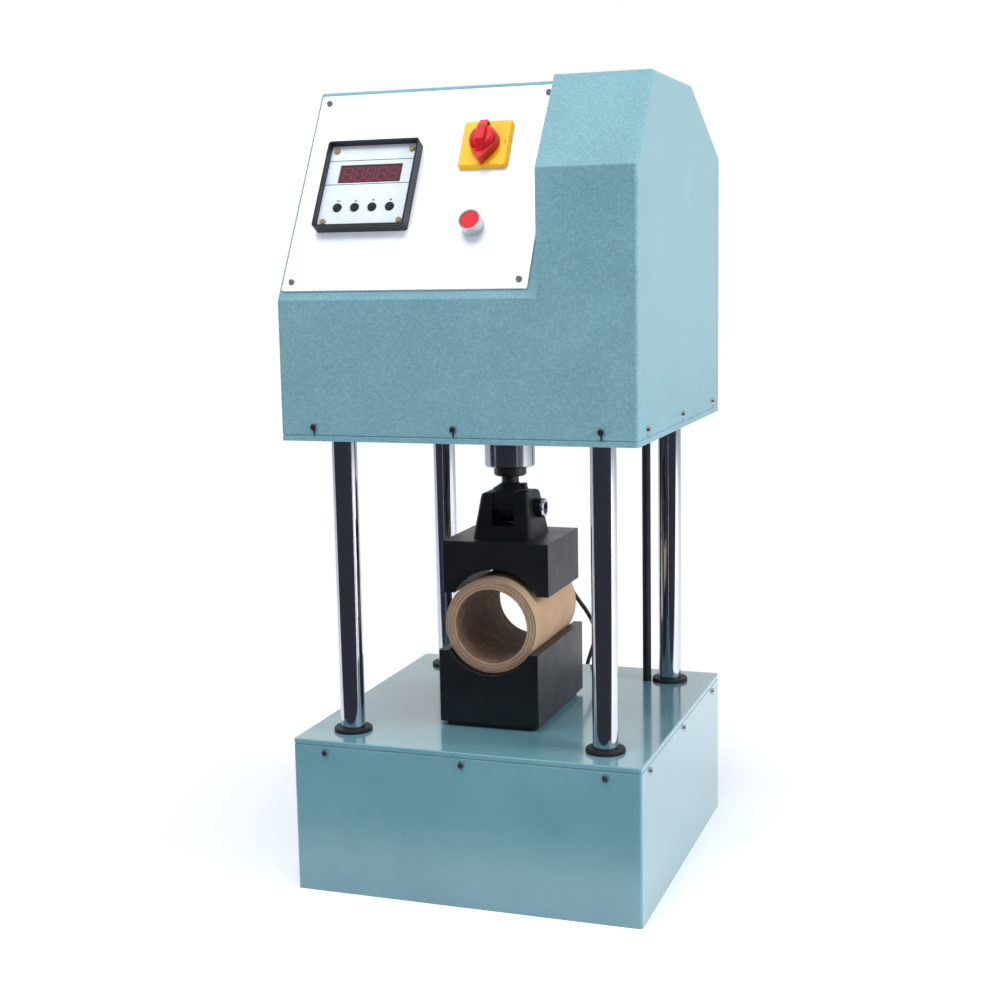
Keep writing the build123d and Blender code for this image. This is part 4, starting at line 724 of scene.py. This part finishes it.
    def floor(self) -> None:
        """A pale bench top with the shadow near the object, fading to white, and dim ahead in gloss."""
        half = self.floor_half / MM
        span = np.linspace(-half, half, 9)
        across, along = np.meshgrid(span, span)
        grid = np.stack([across, along, np.zeros_like(across)], -1)
        mesh = bpy.data.meshes.new("bench_top")
        patch = Patch.of_grid(grid)
        mesh.from_pydata((patch.points * MM).tolist(), [], patch.faces[0].tolist())
        made = bpy.data.objects.new("bench_top", mesh)
        bpy.context.scene.collection.objects.link(made)
        surface = bpy.data.materials.new("bench top")
        surface.use_nodes = True
        tree = surface.node_tree
        tree.nodes.clear()
        place = add(tree, "ShaderNodeTexCoord").outputs["Object"]
        reach = add(tree, "ShaderNodeVectorMath", {0: place}, operation="LENGTH").outputs["Value"]
        fade = add(tree, "ShaderNodeMapRange", {"Value": reach}, {"From Min": 0.35, "From Max": 1.1})
        path = add(tree, "ShaderNodeLightPath")
        matt = add(tree, "ShaderNodeBsdfDiffuse", values={"Color": linear("#E9EAEC")})
        white = add(tree, "ShaderNodeEmission", values={"Color": linear("#FFFFFF"), "Strength": 1.0})
        dim = add(tree, "ShaderNodeEmission", values={"Color": linear("#3A3D46"), "Strength": 1.0})
        near = add(
            tree, "ShaderNodeMixShader",
            {0: add(tree, "ShaderNodeMath", {0: fade.outputs["Result"], 1: path.outputs["Is Camera Ray"]},
                    operation="MULTIPLY").outputs[0],
             1: matt.outputs[0], 2: white.outputs[0]},
        )
        ahead = add(tree, "ShaderNodeSeparateXYZ", {"Vector": place}).outputs["Y"]
        away = add(tree, "ShaderNodeMapRange", {"Value": ahead}, {"From Min": -0.27, "From Max": -0.4})
        both = add(
            tree, "ShaderNodeMath", {0: away.outputs["Result"], 1: path.outputs["Is Glossy Ray"]},
            operation="MULTIPLY",
        )
        skin = add(
            tree, "ShaderNodeMixShader", {0: both.outputs[0], 1: near.outputs[0], 2: dim.outputs[0]}
        )
        add(tree, "ShaderNodeOutputMaterial", {"Surface": skin.outputs[0]})
        mesh.materials.append(surface)

    def build(self) -> None:
        """Builds the camera, the lamps, the world and the bench."""
        self.camera()
        self.lamps()
        self.world()
        self.floor()
        log.info("studio: camera, lamps, world and bench")


# Load cell's cable


@dataclass
class LoadCable:
    """The load cell's signal cable: out of the cell's rear gland, down behind the jaws, into the base.

    Args:
        route: the line's control points, in millimetres.
        thick: the jacket's diameter.
        length: the cable's real free length; not used.
        sides: points round the jacket.
        boot_length: length of a strain relief.
        boot_bore: its bore's radius.
        boot_foot: its outer radius where it leaves the housing.
        boot_taper: how much that radius falls along it.
        rib_pitch: one rib to the next.
        rib_height: half of a rib's height.
    """

    route: tuple[Point, ...] = (
        (0, 8, 384), (0, 25, 384), (1, 41, 373), (2, 60, 351), (4, 82, 324), (6, 110, 297),
        (8, 139, 272), (10, 161, 253), (15, 175, 237), (23, 186, 220), (29, 196, 202), (27, 206, 183),
        (19, 215, 164), (12, 223, 148), (8.5, 227, 131), (8, 225.2, 116), (8, 217.2, 104.5),
        (8, 204.8, 98), (8, 191, 98),
    )
    thick: float = 5.0
    length: float = 407.8
    sides: int = 16
    boot_length: float = 13.0
    boot_bore: float = 2.55
    boot_foot: float = 4.9
    boot_taper: float = 1.9
    rib_pitch: float = 2.6
    rib_height: float = 0.28

    def line(self) -> np.ndarray:
        """Reads the points of a smooth NURBS line through the route.

        Returns:
            Points in millimetres, shape (n, 3).
        """
        curve = bpy.data.curves.new("cable_line", "CURVE")
        curve.dimensions = "3D"
        curve.resolution_u = 10
        spline = curve.splines.new("NURBS")
        spline.points.add(len(self.route) - 1)
        knots = np.column_stack([np.array(self.route) * MM, np.ones(len(self.route))])
        spline.points.foreach_set("co", knots.astype(np.float32).ravel())
        spline.order_u = 3
        spline.use_endpoint_u = True
        holder = bpy.data.objects.new("cable_line", curve)
        mesh = bpy.data.meshes.new_from_object(holder)
        raw = np.zeros(len(mesh.vertices) * 3, np.float32)
        mesh.vertices.foreach_get("co", raw)
        bpy.data.objects.remove(holder)
        bpy.data.meshes.remove(mesh)
        bpy.data.curves.remove(curve)
        return raw.reshape(-1, 3).astype(float) / MM

    def tube(self, line: np.ndarray) -> Patch:
        """Carries a circle along the line: point + r (cos t side + sin t upper), capped at both ends.

        The side is the line's direction crossed with X, which it never follows.

        Args:
            line: points, shape (n, 3).

        Returns:
            The closed tube.
        """
        ahead = np.gradient(line, axis=0)
        ahead /= np.linalg.norm(ahead, axis=1, keepdims=True)
        side = np.cross(ahead, [1.0, 0.0, 0.0])
        side /= np.linalg.norm(side, axis=1, keepdims=True)
        upper = np.cross(ahead, side)
        turn = np.linspace(0, 2 * pi, self.sides, endpoint=False)[None, :, None]
        radius = self.thick / 2
        grid = line[:, None] + radius * (np.cos(turn) * side[:, None] + np.sin(turn) * upper[:, None])
        patch = Patch.of_grid(grid, wrap_columns=True)
        last = (len(line) - 1) * self.sides
        caps = [np.arange(self.sides)[::-1][None, :], (last + np.arange(self.sides))[None, :]]
        return Patch(patch.points, patch.faces + caps)

    def boot(self, name: str, start: Point, heading: Point) -> bpy.types.Object:
        """A tapered, ribbed sleeve: its radius falls evenly along it and rises at each rib.

        Args:
            name: the piece's name.
            start: where it leaves its housing, in millimetres.
            heading: the direction that it runs in.

        Returns:
            The sleeve.
        """
        along = np.linspace(0, 1, 53)
        rib = np.clip(np.cos(2 * pi * along * self.boot_length / self.rib_pitch) * 3, -1, 1)
        radius = self.boot_foot - self.boot_taper * along + self.rib_height * rib
        wall = np.column_stack([radius, along * self.boot_length])
        ends = [[[self.boot_bore, 0.0]], [[self.boot_bore, self.boot_length]]]
        profile = np.concatenate([ends[0], wall, ends[1]])
        grid = lathe(profile, 28)
        out = np.array(heading, float)
        side = np.cross(out, [1.0, 0.0, 0.0])
        placed = (
            np.array(start)
            + grid[..., :1] * np.array([1.0, 0.0, 0.0])
            + grid[..., 1:2] * side
            + grid[..., 2:] * out
        )
        return Patch.of_grid(placed, wrap_rows=True, wrap_columns=True).piece(name, MOULDED_BLACK, 60.0)

    def build(self) -> None:
        """Builds the cable and its two strain reliefs."""
        line = self.line()
        cable = self.tube(line).piece("load_cell_cable", CABLE_JACKET, 80.0)
        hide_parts("load_cable")
        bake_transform(cable)
        upper = self.boot("cell_cable_boot", self.route[0], (0.0, 1.0, 0.0))
        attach(upper, "ram")
        lower = self.boot("base_cable_boot", self.route[-1], (0.0, 1.0, 0.0))
        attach(lower, "machine")


# Paper core


@dataclass
class Specimen:
    """The paper core: a spirally wound kraft tube, sawn to length.

    Args:
        outer: outside radius.
        bore: bore radius.
        front: Y of the front end.
        rear: Y of the rear end.
        axis_z: height of the axis.
        ribbon: width of the paper ribbon along the tube.
        slant: the share of that width that is left square across the ribbon.
        foot_z: height of its lowest line, which stays put in a crush; not used.
        crush: the share of its height that is left at the end of the stroke; not used.
        sides: points round the tube.
        length_rows: rows along the outside and along the bore.
        face_rows: rows across each cut end.
        ease: rounding of the sawn edges.
        plies: each glue groove's radius, depth, width and share of the waver.
        seam_depth: depth of the groove at the ribbon's edge.
        seam_wide: width of that groove.
    """

    outer: float = 49.0
    bore: float = 38.0
    front: float = -87.5
    rear: float = 52.5
    axis_z: float = 262.3
    foot_z: float = 213.3
    ribbon: float = 92.0
    slant: float = 0.72
    crush: float = 0.655
    sides: int = 288
    length_rows: int = 100
    face_rows: int = 54
    ease: float = 0.8
    plies: tuple[tuple[float, float, float, float], ...] = (
        (46.3, 0.75, 0.35, 0.6), (43.4, 0.45, 0.3, 0.9), (40.4, 0.5, 0.35, 0.8),
    )
    seam_depth: float = 0.32
    seam_wide: float = 0.55

    def surface(self) -> Grid:
        """The tube's skin, a closed profile (radius, y) turned about the axis, with its marks added.

        Ends: y moves in by three ragged glue grooves and a fine saw wave. Outside and bore: the radius
        drops by a narrow groove where the ribbon's edge spirals round, one turn per ribbon width.

        Returns:
            The grid, shape (rows, sides, 3).
        """
        turn = np.linspace(0, 2 * pi, self.sides, endpoint=False)[None, :]
        along, across = self.length_rows, self.face_rows
        lengths = np.linspace(self.front + self.ease, self.rear - self.ease, along)
        radii = np.linspace(self.bore + self.ease, self.outer - self.ease, across)
        outside = np.column_stack([np.full(along, self.outer), lengths])
        rear = np.column_stack([radii[::-1], np.full(across, self.rear)])
        inside = np.column_stack([np.full(along, self.bore), lengths[::-1]])
        front = np.column_stack([radii, np.full(across, self.front)])
        profile = np.concatenate([outside, rear, inside, front])
        radius, y = profile[:, :1] + 0 * turn, profile[:, 1:] + 0 * turn
        on_end = np.zeros((len(profile), 1))
        on_end[along : along + across], on_end[2 * along + across :] = -1.0, 1.0
        waver = 0.5 * np.sin(3 * turn + 0.8) + 0.35 * np.sin(7 * turn + 2.1) + 0.2 * np.sin(19 * turn)
        grooves = sum(
            depth * np.exp(-(((radius - ring - waver * share) / wide) ** 2))
            for ring, depth, wide, share in self.plies
        )
        ragged = 0.12 * np.sin(41 * turn + radius) + 0.1 * np.sin(67 * turn - 1.7 * radius) + 0.15 * waver
        y = y + on_end * (grooves + ragged * np.abs(on_end))
        phase = ((y - self.front) / self.ribbon + turn / (2 * pi)) % 1.0
        gap = np.minimum(phase, 1 - phase) * self.ribbon * self.slant
        seam = np.exp(-((gap / self.seam_wide) ** 2))
        middle = (self.outer + self.bore) / 2
        inward = np.where(on_end == 0, np.sign(profile[:, :1] - middle), 0.0)
        swell = 0.12 * np.sin(2 * turn + y / 37) + 0.08 * np.sin(5 * turn - y / 21)
        radius = radius - inward * (self.seam_depth * seam + 0.1 * np.abs(swell))
        x, z = radius * np.cos(turn), radius * np.sin(turn) + self.axis_z
        return np.stack([x, y, z], -1)

    def build(self) -> None:
        """Builds the core on the specimen body, with a mesh of its own."""
        core = Patch.of_grid(self.surface(), wrap_rows=True, wrap_columns=True).piece(
            "wound_core", KRAFT_BOARD, 50.0
        )
        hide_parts("paper_core")
        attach(core, "specimen")
        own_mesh(core)


# Sloped panel and what it carries


@dataclass
class PanelPlane:
    """The sloped panel's outer face: x across, s up the slope, h out of it.

    Args:
        crease: Y and Z of the crease below the panel.
        run: depth of the slope.
        rise: height of the slope.
        thickness: the panel's thickness.
    """

    crease: tuple[float, float] = (-182.5, 595.0)
    run: float = 117.5
    rise: float = 205.0
    thickness: float = 2.0

    def at(self, points: np.ndarray) -> np.ndarray:
        """Places points given as (x, s, h above the panel) in the row's frame.

        The slope's direction is (0, sin a, cos a) and its normal (0, -cos a, sin a), a being its lean.

        Args:
            points: array of shape (..., 3).

        Returns:
            An array of the same shape.
        """
        lean = atan2(self.run, self.rise)
        x, s, h = points[..., 0], points[..., 1], points[..., 2] + self.thickness
        y = self.crease[0] + s * sin(lean) - h * cos(lean)
        z = self.crease[1] + s * cos(lean) + h * sin(lean)
        return np.stack([x, y, z], -1)

    def placed(self, patch: Patch, x: float, s: float) -> Patch:
        """A patch moved to a spot on the panel and laid on its plane."""
        return Patch(self.at(patch.points + np.array([x, s, 0.0])), patch.faces)


@dataclass
class MeterFront:
    """Printed lines, unlit digits and key signs of the panel meter.

    Args:
        spot: the meter's centre on the panel.
        face: height of its face above the panel.
        window: height of the display window above the panel.
        line_ups: how far each printed rule is above the meter's centre.
        line_length: length of a printed rule.
        window_up: the window's centre above the meter's.
        key_up: the row of keys above the meter's centre.
        key_pitch: one key to the next.
        digit_size: width and height of a digit.
        digit_pitch: one digit to the next.
        stroke: width of a segment.
        lean: how far the digits lean over, in degrees.
        sign_up: a key's sign above the key's centre.
    """

    panel: PanelPlane
    spot: tuple[float, float] = (-103.29, 120.96)
    face: float = 6.0
    window: float = 5.0
    line_ups: tuple[float, float] = (28.8, 1.9)
    line_length: float = 91.6
    window_up: float = 13.7
    key_up: float = -24.2
    key_pitch: float = 18.3
    digit_size: tuple[float, float] = (8.6, 14.0)
    digit_pitch: float = 12.0
    stroke: float = 1.5
    lean: float = 8.0
    sign_up: float = 7.6

    def lines(self) -> Patch:
        """Two thin printed rules across the face, each a long plate with round ends."""
        outline = round_outline(self.line_length, 0.75, 0.3, 4)
        plates = [
            self.panel.placed(
                Patch.of_plate(outline, self.face, self.face + 0.05, 0.02), self.spot[0], self.spot[1] + up
            )
            for up in self.line_ups
        ]
        return plates[0].joined(plates[1])

    def segment(self, centre: tuple[float, float], length: float, upright: bool) -> Patch:
        """One display segment: a bar with pointed ends, a hexagon sheared over by the lean.

        Args:
            centre: its middle, from the window's centre.
            length: its length between points.
            upright: it stands along the digit.

        Returns:
            The thin plate.
        """
        half, wide = length / 2, self.stroke / 2
        bar = np.array([[half, 0], [half - wide, wide], [wide - half, wide], [-half, 0],
                        [wide - half, -wide], [half - wide, -wide]])
        if upright:
            bar = bar[:, ::-1] * np.array([-1, 1])
        bar = bar + np.array(centre)
        bar[:, 0] += tan(radians(self.lean)) * bar[:, 1]
        return Patch.of_plate(bar, self.window - 0.02, self.window + 0.04, 0.01)

    def digits(self) -> Patch:
        """Five unlit digits of seven segments, spread evenly over the window."""
        wide, tall = self.digit_size
        made: Patch | None = None
        for place in (-2, -1, 0, 1, 2):
            middle = place * self.digit_pitch
            spots = [
                ((middle, tall / 2), False), ((middle, 0.0), False), ((middle, -tall / 2), False),
                ((middle - wide / 2, tall / 4), True), ((middle + wide / 2, tall / 4), True),
                ((middle - wide / 2, -tall / 4), True), ((middle + wide / 2, -tall / 4), True),
            ]
            for centre, upright in spots:
                length = tall / 2 - 0.5 if upright else wide - 0.5
                bar = self.segment(centre, length, upright)
                made = bar if made is None else made.joined(bar)
        return self.panel.placed(made, self.spot[0], self.spot[1] + self.window_up)

    def key_marks(self) -> Patch:
        """Small printed signs over the keys: a bar, an up arrow, a down arrow and a dot."""
        arrow = np.array([[-1.5, -1.0], [1.5, -1.0], [0.0, 1.3]])
        signs = [
            round_outline(4.2, 0.9, 0.3, 4), arrow, -arrow, round_outline(2.2, 2.2, 1.09, 6),
        ]
        made: Patch | None = None
        for number, outline in enumerate(signs):
            plate = Patch.of_plate(outline, self.face, self.face + 0.05, 0.02)
            spot = self.panel.placed(
                plate, self.spot[0] + (number - 1.5) * self.key_pitch,
                self.spot[1] + self.key_up + self.sign_up,
            )
            made = spot if made is None else made.joined(spot)
        return made

    def build(self) -> None:
        """Builds the meter's printed and unlit details."""
        rules = self.lines().piece("meter_rules", PRINTED_INK)
        digits = self.digits().piece("meter_digits", DIM_SEGMENT)
        signs = self.key_marks().piece("meter_key_signs", PRINTED_INK)
        for piece in (rules, digits, signs):
            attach(piece, "machine")


@dataclass
class SelectorMarks:
    """The switch plate's 0 and 1, printed beside the handle.

    Args:
        spot: the switch's centre on the panel.
        top: height of the plate above the panel.
        tall: height of a figure.
        ink: width of its stroke.
        zero_up: the 0 above the switch's centre.
        one_across: the 1 to the right of it.
    """

    panel: PanelPlane
    spot: tuple[float, float] = (10.505, 164.49)
    top: float = 5.0
    tall: float = 4.6
    ink: float = 0.7
    zero_up: float = 21.6
    one_across: float = 20.5

    def ring(self) -> Patch:
        """The figure 0: an oval band, outer oval to inner oval, standing 0.05 mm."""
        turn = np.linspace(0, 2 * pi, 40, endpoint=False)
        oval = np.stack([np.cos(turn) * 0.36 * self.tall, np.sin(turn) * 0.5 * self.tall], -1)
        inner = oval * (1 - self.ink / (0.36 * self.tall))
        loops = [(oval, self.top), (oval, self.top + 0.05), (inner, self.top + 0.05), (inner, self.top)]
        grid = np.stack([np.column_stack([ring, np.full(len(ring), z)]) for ring, z in loops])
        return Patch.of_grid(grid, wrap_rows=True, wrap_columns=True)

    def build(self) -> None:
        """Builds the two figures."""
        bar = Patch.of_plate(round_outline(self.ink, self.tall, 0.2, 4), self.top, self.top + 0.05, 0.02)
        zero = self.panel.placed(self.ring(), self.spot[0], self.spot[1] + self.zero_up)
        one = self.panel.placed(bar, self.spot[0] + self.one_across, self.spot[1])
        figures = zero.joined(one).piece("switch_figures", PRINTED_INK)
        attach(figures, "machine")


def main() -> None:
    """Builds the studio, the cable, the finishes and the added pieces in order."""
    logging.basicConfig(level=logging.INFO, format="%(message)s")
    Studio().build()
    LoadCable().build()
    dress_nodes()
    Specimen().build()
    panel = PanelPlane()
    MeterFront(panel).build()
    SelectorMarks(panel).build()


if __name__ == "__main__":
    main()
